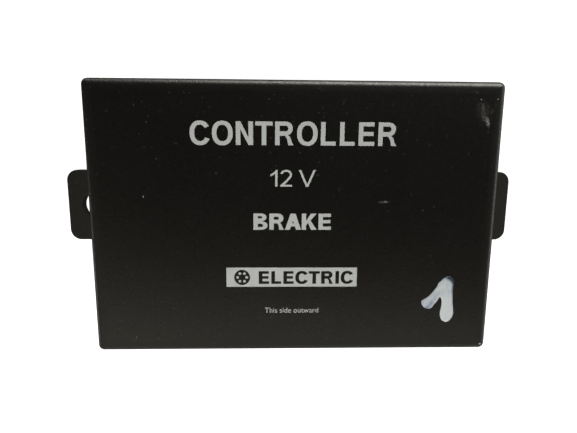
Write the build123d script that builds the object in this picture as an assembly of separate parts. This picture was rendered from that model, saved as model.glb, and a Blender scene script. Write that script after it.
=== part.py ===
"""Brake controller unit: a cast box on a flat base plate whose two ears bolt to a vehicle panel.

Frame: millimetres, +Z up. The origin is the centre of the base plate's mounting face. The plain
front face looks up (+Z), the two ears point along +X and -X, and the harness socket faces -Y.
Every physical piece is a separate solid. Pieces touch or clear each other, and none overlap.
"""

from build123d import *
import math
import os

os.makedirs("parts", exist_ok=True)

# ---------------------------------------------------------------- driving dimensions
FACE_W = 106.0  # box width along X
FACE_H = 71.4  # box height along Y
FRONT_Z = 33.6  # mounting face to front face
PLATE_T = 3.0  # base plate and ears
GASKET_T = 0.8
WALL = 2.2  # box side walls
ROOF = 2.3  # box front face
RIM_Z = PLATE_T + GASKET_T
ROOF_IN = FRONT_Z - ROOF
IN_X, IN_Y = FACE_W / 2 - WALL, FACE_H / 2 - WALL

M3_R = 1.5
TAP_R = 1.55  # running clearance on every M3 thread, which is modelled plain
CLEAR_R = 1.7

BOARD_X, BOARD_Y_MIN, BOARD_Y_MAX = 47.0, -30.0, 29.0
BOARD_UNDER, BOARD_TOP = 8.0, 9.6

SIDES = (-1, 1)


def four_corners(x, y):
    return [(side_x * x, side_y * y) for side_x in SIDES for side_y in SIDES]


CASE_SCREWS = four_corners(47.2, 29.9)
SPACERS = four_corners(41.0, 20.5)
BRACKET_SCREWS = [(-16.0, 22.6), (0.0, 22.6)]

THROUGH = []  # (x, y, half-size) of every lead through the board, filled in by drill()


# ---------------------------------------------------------------- helpers
def box(x_from, x_to, y_from, y_to, z_from, z_to):
    """Box between two limits on each axis, given in either order."""
    centre = Pos((x_from + x_to) / 2, (y_from + y_to) / 2, (z_from + z_to) / 2)
    return centre * Box(abs(x_to - x_from), abs(y_to - y_from), abs(z_to - z_from))


def block(x, y, half_x, half_y, z_from, z_to):
    """Box centred on x, y."""
    return box(x - half_x, x + half_x, y - half_y, y + half_y, z_from, z_to)


def cyl(x, y, z_from, z_to, radius):
    return Pos(x, y, (z_from + z_to) / 2) * Cylinder(radius, z_to - z_from)


def cyl_y(x, z, y_from, y_to, radius):
    return Pos(x, (y_from + y_to) / 2, z) * Rot(90, 0, 0) * Cylinder(radius, y_to - y_from)


def cone(x, y, z_from, z_to, r_from, r_to):
    return Pos(x, y, (z_from + z_to) / 2) * Cone(r_from, r_to, z_to - z_from)


def slab(width, height, corner_r, z_from, z_to):
    """Rounded rectangular plate centred on the origin."""
    return Pos(0, 0, z_from) * extrude(RectangleRounded(width, height, corner_r), z_to - z_from)


def ring(x, y, z_from, z_to, r_out, r_in):
    return cyl(x, y, z_from, z_to, r_out) - cyl(x, y, z_from - 1, z_to + 1, r_in)


def cross(x, y, half_long, half_wide, z_from, z_to):
    """Upright cross, used to cut recesses."""
    return block(x, y, half_long, half_wide, z_from, z_to) + block(
        x, y, half_wide, half_long, z_from, z_to
    )


def circles(part, axis=Axis.Z):
    return part.edges().filter_by(GeomType.CIRCLE).sort_by(axis)


def upright(part):
    return part.edges().filter_by(Axis.Z)


def face_edges(part, axis=Axis.Z, end=-1):
    """Edges of the last face along the axis, or of the first with end=0."""
    return part.faces().sort_by(axis)[end].edges()


def save(name, *pieces):
    found = [solid for piece in pieces for solid in piece.solids()]
    shape = found[0] if len(found) == 1 else Compound(found)
    export_step(shape, f"parts/{name}.step")


def drill(x, y, half):
    """Note a lead that needs a hole and a solder joint."""
    THROUGH.append((x, y, half))


def lead(x, y, z_top, half):
    """Square lead that ends flush with the board's underside, and its hole."""
    drill(x, y, half)
    return block(x, y, half, half, BOARD_UNDER, z_top)


def round_lead(x, y, z_top, radius):
    drill(x, y, radius)
    return cyl(x, y, BOARD_UNDER, z_top, radius)


def pan_screw(x, y, seat_z, length):
    head_r, head_h = 2.8, 2.1
    head = cyl(x, y, seat_z, seat_z + head_h, head_r)
    head = fillet(circles(head)[-1:], 0.9)
    head = head - cross(x, y, 1.5, 0.32, seat_z + 0.9, seat_z + 3)
    return head + cyl(x, y, seat_z - length, seat_z, M3_R)


def flat_screw(x, y, tip_z):
    """Countersunk M3 from the mounting face, its head just below that face."""
    screw = cone(x, y, 0.1, 1.6, 2.85, M3_R) + cyl(x, y, 1.6, tip_z, M3_R)
    return screw - cross(x, y, 1.45, 0.3, -0.5, 1.1)


def flat_seat(x, y):
    """Clearance hole and countersink in the base plate for flat_screw."""
    head_r = 2.96
    return (
        cyl(x, y, -1, 6, CLEAR_R)
        + cone(x, y, 0.0, 1.3778, head_r, CLEAR_R + 0.02)
        + cyl(x, y, -1, 0.0, head_r)
    )


# ---------------------------------------------------------------- case
CORNER_R = 1.65  # upright corners of the box
EDGE_R = 1.55  # rounded edge round the front face
BOSS_R = 3.8
TAP_END = 16.0  # where each boss's tapped hole turns into its drill point
RIB_X = (-35.0, 20.0)

EAR_OUT = 72.7  # X of the ear's outer edge
EAR_H = 23.0
EAR_R = 3.4
EAR_HOLE_X = 63.7
EAR_HOLE_R = 4.5

NOTCH_HALF = 19.0  # opening for the socket in the -Y wall
NOTCH_TOP = 23.0


def corner_boss(x, y):
    """Screw boss with webs that tie it into both walls."""
    top = ROOF_IN + 0.5
    wall_x = math.copysign(IN_X + 0.5, x)
    wall_y = math.copysign(IN_Y + 0.5, y)
    boss = cyl(x, y, RIM_Z, top, BOSS_R)
    boss = boss + box(x, wall_x, y - 1.0, y + 1.0, RIM_Z, top)
    return boss + box(x - 1.0, x + 1.0, y, wall_y, RIM_Z, top)


def make_housing():
    """Front face and four walls in one casting, open at the back, with four tapped bosses."""
    housing = slab(FACE_W, FACE_H, CORNER_R, RIM_Z, FRONT_Z)
    housing = fillet(face_edges(housing), EDGE_R)
    housing = housing - slab(2 * IN_X, 2 * IN_Y, 1.0, RIM_Z - 1, ROOF_IN)
    housing = housing + [corner_boss(x, y) for x, y in CASE_SCREWS]
    # stiffening ribs under the front face
    for x in RIB_X:
        housing = housing + block(x, 0, 0.8, IN_Y + 0.4, ROOF_IN - 0.4, ROOF_IN + 0.5)
    for x, y in CASE_SCREWS:
        housing = housing - cyl(x, y, RIM_Z - 1, TAP_END, TAP_R)
        housing = housing - cone(x, y, TAP_END, TAP_END + 1.2, TAP_R, 0.05)
    notch = box(-NOTCH_HALF, NOTCH_HALF, -FACE_H / 2 - 2, -IN_Y + 1.0, RIM_Z - 1, NOTCH_TOP)
    notch = fillet(notch.edges().filter_by(Axis.Y).sort_by(Axis.Z)[-2:], 1.2)
    return housing - notch


def make_base_plate():
    """Base plate with the two ears."""
    plate = slab(FACE_W, FACE_H, CORNER_R, 0, PLATE_T)
    plate = plate + slab(2 * EAR_OUT, EAR_H, EAR_R, 0, PLATE_T)
    # small root radius where each ear leaves the plate
    roots = [
        edge
        for edge in upright(plate)
        if abs(abs(edge.center().X) - FACE_W / 2) < 0.05
        and abs(abs(edge.center().Y) - EAR_H / 2) < 0.05
    ]
    plate = fillet(roots, 1.0)
    for side in SIDES:
        plate = plate - cyl(side * EAR_HOLE_X, 0, -1, PLATE_T + 1, EAR_HOLE_R)
    for x, y in CASE_SCREWS + BRACKET_SCREWS:
        plate = plate - flat_seat(x, y)
    for x, y in SPACERS:
        plate = plate - cyl(x, y, -1, PLATE_T + 1, TAP_R)
    # break the sharp edges round the ears, top and bottom, but not round their holes
    ear_rims = [
        edge
        for edge in plate.edges()
        if abs(edge.center().X) > FACE_W / 2 + 3
        and edge.bounding_box().size.Z < 0.01
        and not (edge.geom_type == GeomType.CIRCLE and abs(edge.radius - EAR_HOLE_R) < 0.01)
    ]
    return fillet(ear_rims, 0.35)


def make_gasket():
    """Flat ring under the rim with a pad round every case screw."""
    gasket = slab(FACE_W - 0.6, FACE_H - 0.6, 1.6, PLATE_T, RIM_Z)
    gasket = gasket - slab(FACE_W - 5.6, FACE_H - 5.6, 1.0, PLATE_T - 1, RIM_Z + 1)
    for x, y in CASE_SCREWS:
        gasket = gasket + cyl(x, y, PLATE_T, RIM_Z, BOSS_R)
    for x, y in CASE_SCREWS:
        gasket = gasket - cyl(x, y, PLATE_T - 1, RIM_Z + 1, CLEAR_R)
    return gasket


save("housing", make_housing())
save("base_plate", make_base_plate())
save("case_gasket", make_gasket())
save("case_screws", *[flat_screw(x, y, 14.0) for x, y in CASE_SCREWS])


# ---------------------------------------------------------------- board fixings
def board_spacer(x, y):
    """Hexagonal spacer with a stud in the base plate and a tapped top."""
    hexagon = RegularPolygon(2.75, 6, major_radius=False)
    spacer = Pos(x, y, PLATE_T) * extrude(hexagon, BOARD_UNDER - PLATE_T)
    spacer = spacer + cyl(x, y, 0.3, PLATE_T, M3_R)
    return spacer - cyl(x, y, 4.2, BOARD_UNDER + 1, TAP_R)


save("board_spacers", *[board_spacer(x, y) for x, y in SPACERS])
save("board_screws", *[pan_screw(x, y, BOARD_TOP, 4.8) for x, y in SPACERS])

# ---------------------------------------------------------------- harness socket
SOCK_HALF = NOTCH_HALF - 0.15
SOCK_TOP = NOTCH_TOP - 0.15
MOUTH_Y = -37.1
SOCK_BACK_Y = -20.5
LIP_HALF = 20.6  # lip outside the box wall
FLANGE_HALF = 21.5  # flange inside the box wall
FLANGE_Y_MIN, FLANGE_Y_MAX = -32.6, -31.2
CAV_HALF, CAV_Z_MIN, CAV_Z_MAX = 16.5, 11.4, 20.6
CAV_FLOOR_Y = -25.1
PIN_X = [-12.5 + 5.0 * i for i in range(6)]
PIN_ROWS = ((13.7, -18.5), (18.3, -15.5))  # (blade Z, Y of its drop to the board)


def socket_pin(x, y, z):
    """Blade along Y with a chamfered tip, and a square drop to the board."""
    blade = box(x - 0.8, x + 0.8, -34.1, y + 0.4, z - 0.4, z + 0.4)
    blade = chamfer(face_edges(blade, Axis.Y, 0).filter_by(Axis.X), 0.25)
    drill(x, y, 0.62)
    return blade + block(x, y, 0.55, 0.4, BOARD_UNDER, z + 0.4)


def make_shroud(pins):
    shroud = box(-SOCK_HALF, SOCK_HALF, MOUTH_Y, SOCK_BACK_Y, BOARD_TOP, SOCK_TOP)
    shroud = fillet(shroud.edges().filter_by(Axis.Y).sort_by(Axis.Z)[-2:], 1.3)
    # skirt below board level, outer lip and inner flange
    shroud = shroud + box(-SOCK_HALF, SOCK_HALF, MOUTH_Y, FLANGE_Y_MAX, RIM_Z, BOARD_TOP)
    lip_back = -FACE_H / 2 - 0.1
    shroud = shroud + box(-LIP_HALF, LIP_HALF, MOUTH_Y, lip_back, RIM_Z, SOCK_TOP + 1.7)
    shroud = shroud + box(
        -FLANGE_HALF, FLANGE_HALF, FLANGE_Y_MIN, FLANGE_Y_MAX, RIM_Z, SOCK_TOP + 2.4
    )
    lip_corners = [
        edge
        for edge in shroud.edges().filter_by(Axis.Y)
        if abs(abs(edge.center().X) - LIP_HALF) < 0.05 and edge.center().Y < -FACE_H / 2
    ]
    shroud = fillet(lip_corners, 1.0)
    cavity = box(-CAV_HALF, CAV_HALF, MOUTH_Y - 1, CAV_FLOOR_Y, CAV_Z_MIN, CAV_Z_MAX)
    shroud = shroud - fillet(cavity.edges().filter_by(Axis.Y), 0.8)
    mouth = [
        edge
        for edge in face_edges(shroud, Axis.Y, 0)
        if abs(edge.center().X) < CAV_HALF + 0.1
        and CAV_Z_MIN - 0.1 < edge.center().Z < CAV_Z_MAX + 0.1
    ]
    shroud = chamfer(mouth, 0.4)
    # two keying ribs on the cavity's lower side and one on its roof, set back from the mouth
    for x, half, z_from, z_to in (
        (-10.0, 0.6, CAV_Z_MIN - 0.2, CAV_Z_MIN + 0.9),
        (5.0, 0.6, CAV_Z_MIN - 0.2, CAV_Z_MIN + 0.9),
        (0.0, 0.9, CAV_Z_MAX - 0.9, CAV_Z_MAX + 0.2),
    ):
        shroud = shroud + box(
            x - half, x + half, MOUTH_Y + 0.8, CAV_FLOOR_Y + 0.2, z_from, z_to
        )
    # latch catch: a pocket in the cavity roof for the plug's latch
    shroud = shroud - box(
        -4.0, 4.0, MOUTH_Y + 2.2, MOUTH_Y + 5.0, CAV_Z_MAX - 0.1, CAV_Z_MAX + 0.9
    )
    # hollowed back so that the moulding keeps an even wall
    for x in PIN_X:
        shroud = shroud - box(
            x - 1.7, x + 1.7, SOCK_BACK_Y - 1.6, SOCK_BACK_Y + 1, BOARD_TOP + 1.2, SOCK_TOP - 1.4
        )
    for pin in pins:
        shroud = shroud - pin
    return shroud


def make_socket_seal():
    """Face seal between the box wall and the socket's inner flange."""
    seal = box(-21.3, 21.3, -IN_Y, FLANGE_Y_MIN, RIM_Z, SOCK_TOP + 2.2)
    return seal - box(-SOCK_HALF, SOCK_HALF, -34, -32, RIM_Z - 1, SOCK_TOP)


socket_pins = [socket_pin(x, y, z) for x in PIN_X for z, y in PIN_ROWS]
save("socket_shroud", make_shroud(socket_pins))
save("socket_pins", *socket_pins)
save("socket_seal", make_socket_seal())

# ---------------------------------------------------------------- heat sink bracket and devices
BRACKET_X_MIN, BRACKET_X_MAX = -31.0, 15.0
BRACKET_T = 2.0
LEG_Y_MIN = 30.2
LEG_Y_MAX = LEG_Y_MIN + BRACKET_T
DEVICE_X = [-24.0, -8.0, 8.0]
DEVICE_HALF = 5.0
TAB_Y_MIN, TAB_Y_MAX = 28.65, 29.95
DEVICE_Z_MIN, DEVICE_Z_MAX, TAB_TOP = 12.6, 21.8, 28.3
DEVICE_HOLE_Z = 25.5
TAB_HOLE_R = 1.85
LEAD_PITCH = 2.54
SCREW_SEAT_Y = 28.05  # where the device screw's head meets its bush


def device_hole(x, radius):
    return cyl_y(x, DEVICE_HOLE_Z, 20, 40, radius)


def make_bracket():
    """Bent sheet: a foot on the base plate and an upright leg by the +Y wall."""
    foot_top = PLATE_T + BRACKET_T
    bracket = box(BRACKET_X_MIN, BRACKET_X_MAX, 19.0, LEG_Y_MAX, PLATE_T, foot_top) + box(
        BRACKET_X_MIN, BRACKET_X_MAX, LEG_Y_MIN, LEG_Y_MAX, PLATE_T, 29.0
    )
    # outside of the bend, then inside
    for bend_y, bend_z, radius in ((LEG_Y_MAX, PLATE_T, 2.0), (LEG_Y_MIN, foot_top, 0.8)):
        bend = [
            edge
            for edge in bracket.edges().filter_by(Axis.X)
            if abs(edge.center().Y - bend_y) < 0.05 and abs(edge.center().Z - bend_z) < 0.05
        ]
        bracket = fillet(bend, radius)
    for x, y in BRACKET_SCREWS:
        bracket = bracket - cyl(x, y, 0, 6, TAP_R)
    for x in DEVICE_X:
        bracket = bracket - cyl_y(x, DEVICE_HOLE_Z, LEG_Y_MIN - 1, LEG_Y_MAX + 1, TAP_R)
    return bracket


def device_pad(x):
    """Insulating pad between the tab and the bracket."""
    pad = box(x - 5.6, x + 5.6, TAB_Y_MAX, LEG_Y_MIN, DEVICE_Z_MIN - 0.6, TAB_TOP + 0.5)
    return pad - device_hole(x, TAB_HOLE_R)


def device_tab(x):
    """Metal tab with a notch in each side."""
    tab = box(
        x - DEVICE_HALF, x + DEVICE_HALF, TAB_Y_MIN, TAB_Y_MAX, DEVICE_Z_MIN + 0.3, TAB_TOP
    )
    for side in SIDES:
        edge_x = x + side * DEVICE_HALF
        tab = tab - box(
            edge_x - 0.7, edge_x + 0.7, 20, 40, DEVICE_HOLE_Z - 3.2, DEVICE_HOLE_Z - 1.7
        )
    return tab - device_hole(x, TAB_HOLE_R)


def device_body(x, tab):
    body = box(
        x - DEVICE_HALF, x + DEVICE_HALF, 25.45, TAB_Y_MAX, DEVICE_Z_MIN, DEVICE_Z_MAX
    )
    return chamfer(face_edges(body, Axis.Y, 0), 0.5) - tab


def device_lead(x):
    """Stepped strip from the body down through the board."""
    y, half_t = 27.35, 0.25
    step_z = BOARD_TOP + 0.4
    drill(x, y, 0.45)
    wide = block(x, y, 0.6, half_t, step_z, DEVICE_Z_MIN)
    return wide + block(x, y, 0.38, half_t, BOARD_UNDER, step_z)


def device_bush(x):
    """Insulating bush: a flange on the tab and a sleeve in its hole."""
    bush = cyl_y(x, DEVICE_HOLE_Z, SCREW_SEAT_Y, TAB_Y_MIN, 3.1) + cyl_y(
        x, DEVICE_HOLE_Z, TAB_Y_MIN, TAB_Y_MAX - 0.1, 1.8
    )
    return bush - device_hole(x, 1.56)


def device_screw(x):
    """Pan-head M3 along Y, its cross recess facing -Y."""
    head = cyl_y(x, DEVICE_HOLE_Z, 25.95, SCREW_SEAT_Y, 2.75)
    head = fillet(circles(head, Axis.Y)[:1], 0.8)
    for half_x, half_z in ((1.5, 0.32), (0.32, 1.5)):
        head = head - box(
            x - half_x, x + half_x, 25, 27.0, DEVICE_HOLE_Z - half_z, DEVICE_HOLE_Z + half_z
        )
    return head + cyl_y(x, DEVICE_HOLE_Z, SCREW_SEAT_Y, 32.0, M3_R)


device_tabs, device_bodies = [], []
for x in DEVICE_X:
    tab = device_tab(x)
    device_tabs += [tab] + [device_lead(x + LEAD_PITCH * i) for i in (-1, 0, 1)]
    device_bodies.append(device_body(x, tab))
save("heat_sink_bracket", make_bracket())
save("bracket_screws", *[flat_screw(x, y, 4.4) for x, y in BRACKET_SCREWS])
save("transistor_pads", *[device_pad(x) for x in DEVICE_X])
save("transistor_bushes", *[device_bush(x) for x in DEVICE_X])
save("transistor_screws", *[device_screw(x) for x in DEVICE_X])
save("output_transistors", *device_bodies[:2])
save("voltage_regulator", device_bodies[2])
save("transistor_tabs", *device_tabs)

# ---------------------------------------------------------------- capacitors
# (x, y, radius, height, lead pitch): two smoothing capacitors, then two filter capacitors
CANS = (
    (-37.0, 8.5, 6.25, 20.0, 5.0),
    (-37.0, -5.5, 6.25, 20.0, 5.0),
    (-5.0, -9.0, 4.0, 11.5, 3.5),
    (-14.5, -10.0, 4.0, 11.5, 3.5),
)
SLEEVE_T = 0.15


def capacitor(x, y, radius, height, pitch):
    """Aluminium can with a crimped neck and a scored vent, its two leads and its sleeve."""
    foot_z = BOARD_TOP + 0.2
    top = foot_z + height
    can = cyl(x, y, foot_z, top, radius - SLEEVE_T)
    can = fillet(circles(can), 0.6)
    can = can - (Pos(x, y, foot_z + 2.6) * Torus(radius + 0.35, 0.9))
    can = can - cross(x, y, radius * 0.6, 0.15, top - 0.25, top + 1)
    leads = [round_lead(x + side * pitch / 2, y, foot_z, 0.35) for side in SIDES]
    sleeve = cyl(x, y, foot_z + 4.0, top - 0.9, radius)
    sleeve = sleeve - cyl(x, y, foot_z, top + 1, radius - SLEEVE_T)
    return can, leads, sleeve


cans, can_leads, sleeves = zip(*[capacitor(*row) for row in CANS])
save("smoothing_capacitors", *cans[:2])
save("filter_capacitors", *cans[2:])
save("capacitor_sleeves", *sleeves)
save("capacitor_leads", *[wire for pair in can_leads for wire in pair])

# ---------------------------------------------------------------- choke
CHOKE_X, CHOKE_Y, CHOKE_Z = -16.0, 7.5, 15.2
CORE_R_OUT, CORE_R_IN, CORE_HALF = 10.0, 5.2, 4.0
WIRE_R = 0.5
WIRE_GAP = WIRE_R + 0.1  # core surface to wire centre
WIRE_BEND = 1.3
CHOKE_TURNS = 20
CHOKE_START, CHOKE_SPAN = 24.0, 312.0  # degrees


def on_core(radius, degrees, z):
    angle = math.radians(degrees)
    return (CHOKE_X + radius * math.cos(angle), CHOKE_Y + radius * math.sin(angle), z)


def choke_track():
    """Corners of one continuous wire.

    Each turn runs straight up outside the core, in over the top, down the bore and out
    underneath. It moves on round the core only along its top and bottom runs. Both ends drop
    straight to the board.
    """
    outside, bore = CORE_R_OUT + WIRE_GAP, CORE_R_IN - WIRE_GAP
    low, high = CHOKE_Z - CORE_HALF - WIRE_GAP, CHOKE_Z + CORE_HALF + WIRE_GAP
    step = CHOKE_SPAN / (CHOKE_TURNS - 0.5)
    track = []
    for i in range(CHOKE_TURNS):
        angle = CHOKE_START + i * step
        first, last = i == 0, i == CHOKE_TURNS - 1
        track += [
            on_core(outside, angle, BOARD_UNDER if first else low),
            on_core(outside, angle, high),
            on_core(bore, angle + step / 2, high),
            on_core(bore, angle + step / 2, BOARD_UNDER if last else low),
        ]
    return track


def make_winding(track):
    path = FilletPolyline(*track, radius=WIRE_BEND).wires()[0]
    return sweep(Plane(origin=path @ 0, z_dir=path % 0) * Circle(WIRE_R), path=path)


choke_core = ring(
    CHOKE_X, CHOKE_Y, CHOKE_Z - CORE_HALF, CHOKE_Z + CORE_HALF, CORE_R_OUT, CORE_R_IN
)
save("choke_core", fillet(circles(choke_core), 0.9))
wire_track = choke_track()
save("choke_winding", make_winding(wire_track))
for x, y, _ in (wire_track[0], wire_track[-1]):
    drill(x, y, WIRE_R)

# ---------------------------------------------------------------- relay
RELAY_X, RELAY_Y = 32.0, 9.0
RELAY_HALF_X, RELAY_HALF_Y = 9.5, 7.75
RELAY_Z = BOARD_TOP + 0.2  # underside of the relay
BASE_TOP = RELAY_Z + 1.8
COIL_Z = RELAY_Z + 3.1  # top of the yoke's foot, where the coil stands
YOKE_TOP = RELAY_Z + 10.6  # top of the yoke and of the core
CORE_HEAD_Z = YOKE_TOP - 0.5
YOKE_X = RELAY_X - RELAY_HALF_X + 1.2
COIL_X = YOKE_X + 5.9
CONTACT_X = YOKE_X + 14.9
CONTACT_R = 1.1
POST_X = CONTACT_X + 1.6
STRIP_T = 0.4  # fixed contact strips
UPPER_CONTACT_Z = YOKE_TOP + 2.98
ARM_OPEN_DEG = 4.0
HINGE = Pos(YOKE_X + 0.6, RELAY_Y, YOKE_TOP + 0.05)


def make_relay_cover():
    cover = block(RELAY_X, RELAY_Y, RELAY_HALF_X, RELAY_HALF_Y, RELAY_Z, RELAY_Z + 15.4)
    cover = fillet(upright(cover), 0.6)
    cover = fillet(face_edges(cover), 0.4)
    return cover - block(
        RELAY_X, RELAY_Y, RELAY_HALF_X - 0.6, RELAY_HALF_Y - 0.6, RELAY_Z - 1, RELAY_Z + 14.8
    )


def make_yoke():
    """L-shaped yoke: a foot under the coil and an upright beside it."""
    near, far = RELAY_Y - 3.5, RELAY_Y + 3.5
    return box(YOKE_X, YOKE_X + 9.9, near, far, RELAY_Z + 1.9, COIL_Z) + box(
        YOKE_X, YOKE_X + 1.2, near, far, RELAY_Z + 1.9, YOKE_TOP
    )


def make_relay_core():
    return cyl(COIL_X, RELAY_Y, COIL_Z, CORE_HEAD_Z, 1.9) + cyl(
        COIL_X, RELAY_Y, CORE_HEAD_Z, YOKE_TOP, 3.2
    )


def make_bobbin():
    bobbin = (
        block(COIL_X, RELAY_Y, 4.6, 4.6, COIL_Z, COIL_Z + 0.7)
        + block(COIL_X, RELAY_Y, 4.6, 4.6, CORE_HEAD_Z - 0.7, CORE_HEAD_Z)
        + cyl(COIL_X, RELAY_Y, COIL_Z, CORE_HEAD_Z, 2.6)
    )
    return bobbin - cyl(COIL_X, RELAY_Y, RELAY_Z, YOKE_TOP + 1, 1.93)


def opened(shape):
    """Swing a part drawn closed about the hinge line on top of the yoke."""
    return HINGE * Rot(0, -ARM_OPEN_DEG, 0) * HINGE.inverse() * shape


def make_armature():
    armature = box(
        YOKE_X + 0.05, YOKE_X + 9.9, RELAY_Y - 3.3, RELAY_Y + 3.3, YOKE_TOP + 0.05, YOKE_TOP + 1.05
    )
    return fillet(upright(armature), 0.5)


def make_contact_spring():
    """Leaf spring with a contact on each side of its free end and one rivet head."""
    leaf_z, leaf_top = YOKE_TOP + 1.05, YOKE_TOP + 1.3
    leaf = box(YOKE_X + 2.0, CONTACT_X + 1.2, RELAY_Y - 1.8, RELAY_Y + 1.8, leaf_z, leaf_top)
    leaf = fillet(upright(leaf), 0.8)
    return (
        leaf
        + cyl(CONTACT_X, RELAY_Y, leaf_z - 0.5, leaf_z, CONTACT_R)
        + cyl(CONTACT_X, RELAY_Y, leaf_top, leaf_top + 0.5, CONTACT_R)
        + cyl(YOKE_X + 4.2, RELAY_Y, leaf_top, leaf_top + 0.3, 0.7)
    )


def fixed_contact(side, strip_z, button_z, button_top):
    """Strip, post on the given Y side, contact button and tail through the board."""
    strip_top = strip_z + STRIP_T
    post_back = POST_X + STRIP_T

    def beside(offset):
        return RELAY_Y + side * offset

    return (
        box(CONTACT_X - 1.3, post_back, beside(-1.4), beside(5.0), strip_z, strip_top)
        + box(POST_X, post_back, beside(2.2), beside(5.0), BASE_TOP, strip_top)
        + cyl(CONTACT_X, RELAY_Y, button_z, button_top, CONTACT_R)
        + box(POST_X, post_back, beside(3.0), beside(4.2), BOARD_UNDER, BASE_TOP)
    )


def make_relay_pins():
    """Two coil pins and one yoke pin."""
    pins = []
    for side in SIDES:
        x, y = YOKE_X + 2.95, RELAY_Y + side * 5.9
        drill(x, y, 0.5)
        pins.append(block(x, y, 0.35, 0.35, BOARD_UNDER, RELAY_Z + 5.0))
    x = YOKE_X + 0.55
    drill(x, RELAY_Y, 0.75)
    return pins + [block(x, RELAY_Y, 0.35, 0.6, BOARD_UNDER, RELAY_Z + 1.9)]


def make_relay_base(pins):
    base = block(
        RELAY_X, RELAY_Y, RELAY_HALF_X - 0.65, RELAY_HALF_Y - 0.65, RELAY_Z, BASE_TOP
    )
    for pin in pins:
        base = base - pin
    return base


fixed_contacts = [
    fixed_contact(-1, YOKE_TOP - STRIP_T, YOKE_TOP, YOKE_TOP + 0.5),
    fixed_contact(1, UPPER_CONTACT_Z + 0.4, UPPER_CONTACT_Z, UPPER_CONTACT_Z + 0.4),
]
relay_pins = make_relay_pins()
for side in SIDES:
    drill(POST_X + STRIP_T / 2, RELAY_Y + side * 3.6, 0.7)
relay_coil = ring(COIL_X, RELAY_Y, COIL_Z + 0.75, CORE_HEAD_Z - 0.75, 4.3, 2.63)
save("relay_cover", make_relay_cover())
save("relay_yoke", make_yoke())
save("relay_core", make_relay_core())
save("relay_bobbin", make_bobbin())
save("relay_coil", relay_coil)
save("relay_armature", opened(make_armature()))
save("relay_contact_spring", opened(make_contact_spring()))
save("relay_fixed_contacts", *fixed_contacts)
save("relay_pins", *relay_pins)
save("relay_base", make_relay_base(relay_pins + fixed_contacts))

# ---------------------------------------------------------------- fuse and holder
FUSE_X, FUSE_Y = -30.0, -20.5
BLADE_X = [FUSE_X + side * 4.05 for side in SIDES]
BLADE_TOP = 20.6


def make_fuse_holder():
    holder = block(FUSE_X, FUSE_Y, 6.5, 3.2, BOARD_TOP, 17.1)
    holder = fillet(upright(holder), 0.6)
    for x in BLADE_X:
        # clip chamber, then the blade slot above it
        holder = holder - block(x, FUSE_Y, 1.75, 1.25, BOARD_TOP - 1, 16.4)
        holder = holder - block(x, FUSE_Y, 1.55, 0.6, 16, 18)
    return holder


def fuse_clip(x):
    """Two cheeks on a floor strip, with two tails through the board."""
    clip = (
        box(x - 1.5, x + 1.5, FUSE_Y - 0.85, FUSE_Y - 0.4, 9.9, 15.8)
        + box(x - 1.5, x + 1.5, FUSE_Y + 0.4, FUSE_Y + 0.85, 9.9, 15.8)
        + block(x, FUSE_Y, 1.5, 0.85, 9.7, 10.1)
    )
    for side in SIDES:
        y = FUSE_Y + side * 0.6
        clip = clip + block(x, y, 0.5, 0.2, BOARD_UNDER, 9.8)
        drill(x, y, 0.55)
    return clip


def fuse_blade(x):
    blade = block(x, FUSE_Y, 1.4, 0.35, 10.4, BLADE_TOP)
    return chamfer(face_edges(blade, end=0).filter_by(Axis.X), 0.25)


def make_fuse_element():
    """Two blades joined by a stepped link."""
    element = fuse_blade(BLADE_X[0]) + fuse_blade(BLADE_X[1])
    for x_from, x_to, z_from, z_to in (
        (-3.0, -0.3, 19.0, 19.7),
        (0.3, 3.0, 17.9, 18.6),
        (-0.45, 0.45, 17.9, 19.7),
    ):
        element = element + box(
            FUSE_X + x_from, FUSE_X + x_to, FUSE_Y - 0.2, FUSE_Y + 0.2, z_from, z_to
        )
    return element


def make_fuse_body():
    body = block(FUSE_X, FUSE_Y, 5.45, 1.9, 17.15, 22.6)
    # shallow recess in each broad face
    for side in SIDES:
        body = body - box(
            FUSE_X - 4.2, FUSE_X + 4.2, FUSE_Y + side * 1.35, FUSE_Y + side * 3, 18.2, 21.2
        )
    body = fillet(face_edges(body), 0.5)
    # room for the link and the blades
    body = body - block(FUSE_X, FUSE_Y, 3.2, 0.25, 17.8, 19.8)
    for x in BLADE_X:
        body = body - block(x, FUSE_Y, 1.4, 0.35, 10, BLADE_TOP)
    return body


save("fuse_holder", make_fuse_holder())
save("fuse_clips", *[fuse_clip(x) for x in BLADE_X])
save("fuse_element", make_fuse_element())
save("fuse_body", make_fuse_body())

# ---------------------------------------------------------------- trimmers
TRIMMERS = (("gain", 29.5, -7.5), ("limit", 29.5, -19.0))
TRIMMER_PINS = ((-2.54, -2.54), (2.54, -2.54), (0.0, 2.54))  # from the trimmer's centre


def trimmer_body(x, y):
    body = block(x, y, 4.75, 4.75, BOARD_TOP + 0.3, BOARD_TOP + 5.0)
    body = fillet(upright(body), 0.3)
    body = body - cyl(x, y, BOARD_TOP + 2.9, BOARD_TOP + 6, 3.0)
    return body - cyl(x, y, BOARD_TOP + 1.4, BOARD_TOP + 3, 1.25)


def trimmer_rotor(x, y):
    """Disc and spindle with a cross slot, one arm of it longer."""
    rotor = cyl(x, y, BOARD_TOP + 2.95, BOARD_TOP + 4.85, 2.95) + cyl(
        x, y, BOARD_TOP + 1.5, BOARD_TOP + 2.95, 1.2
    )
    slot_z = BOARD_TOP + 4.0
    rotor = rotor - block(x, y, 2.0, 0.4, slot_z, slot_z + 2)
    return rotor - box(x - 0.4, x + 0.4, y - 2.0, y + 2.6, slot_z, slot_z + 2)


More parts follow.
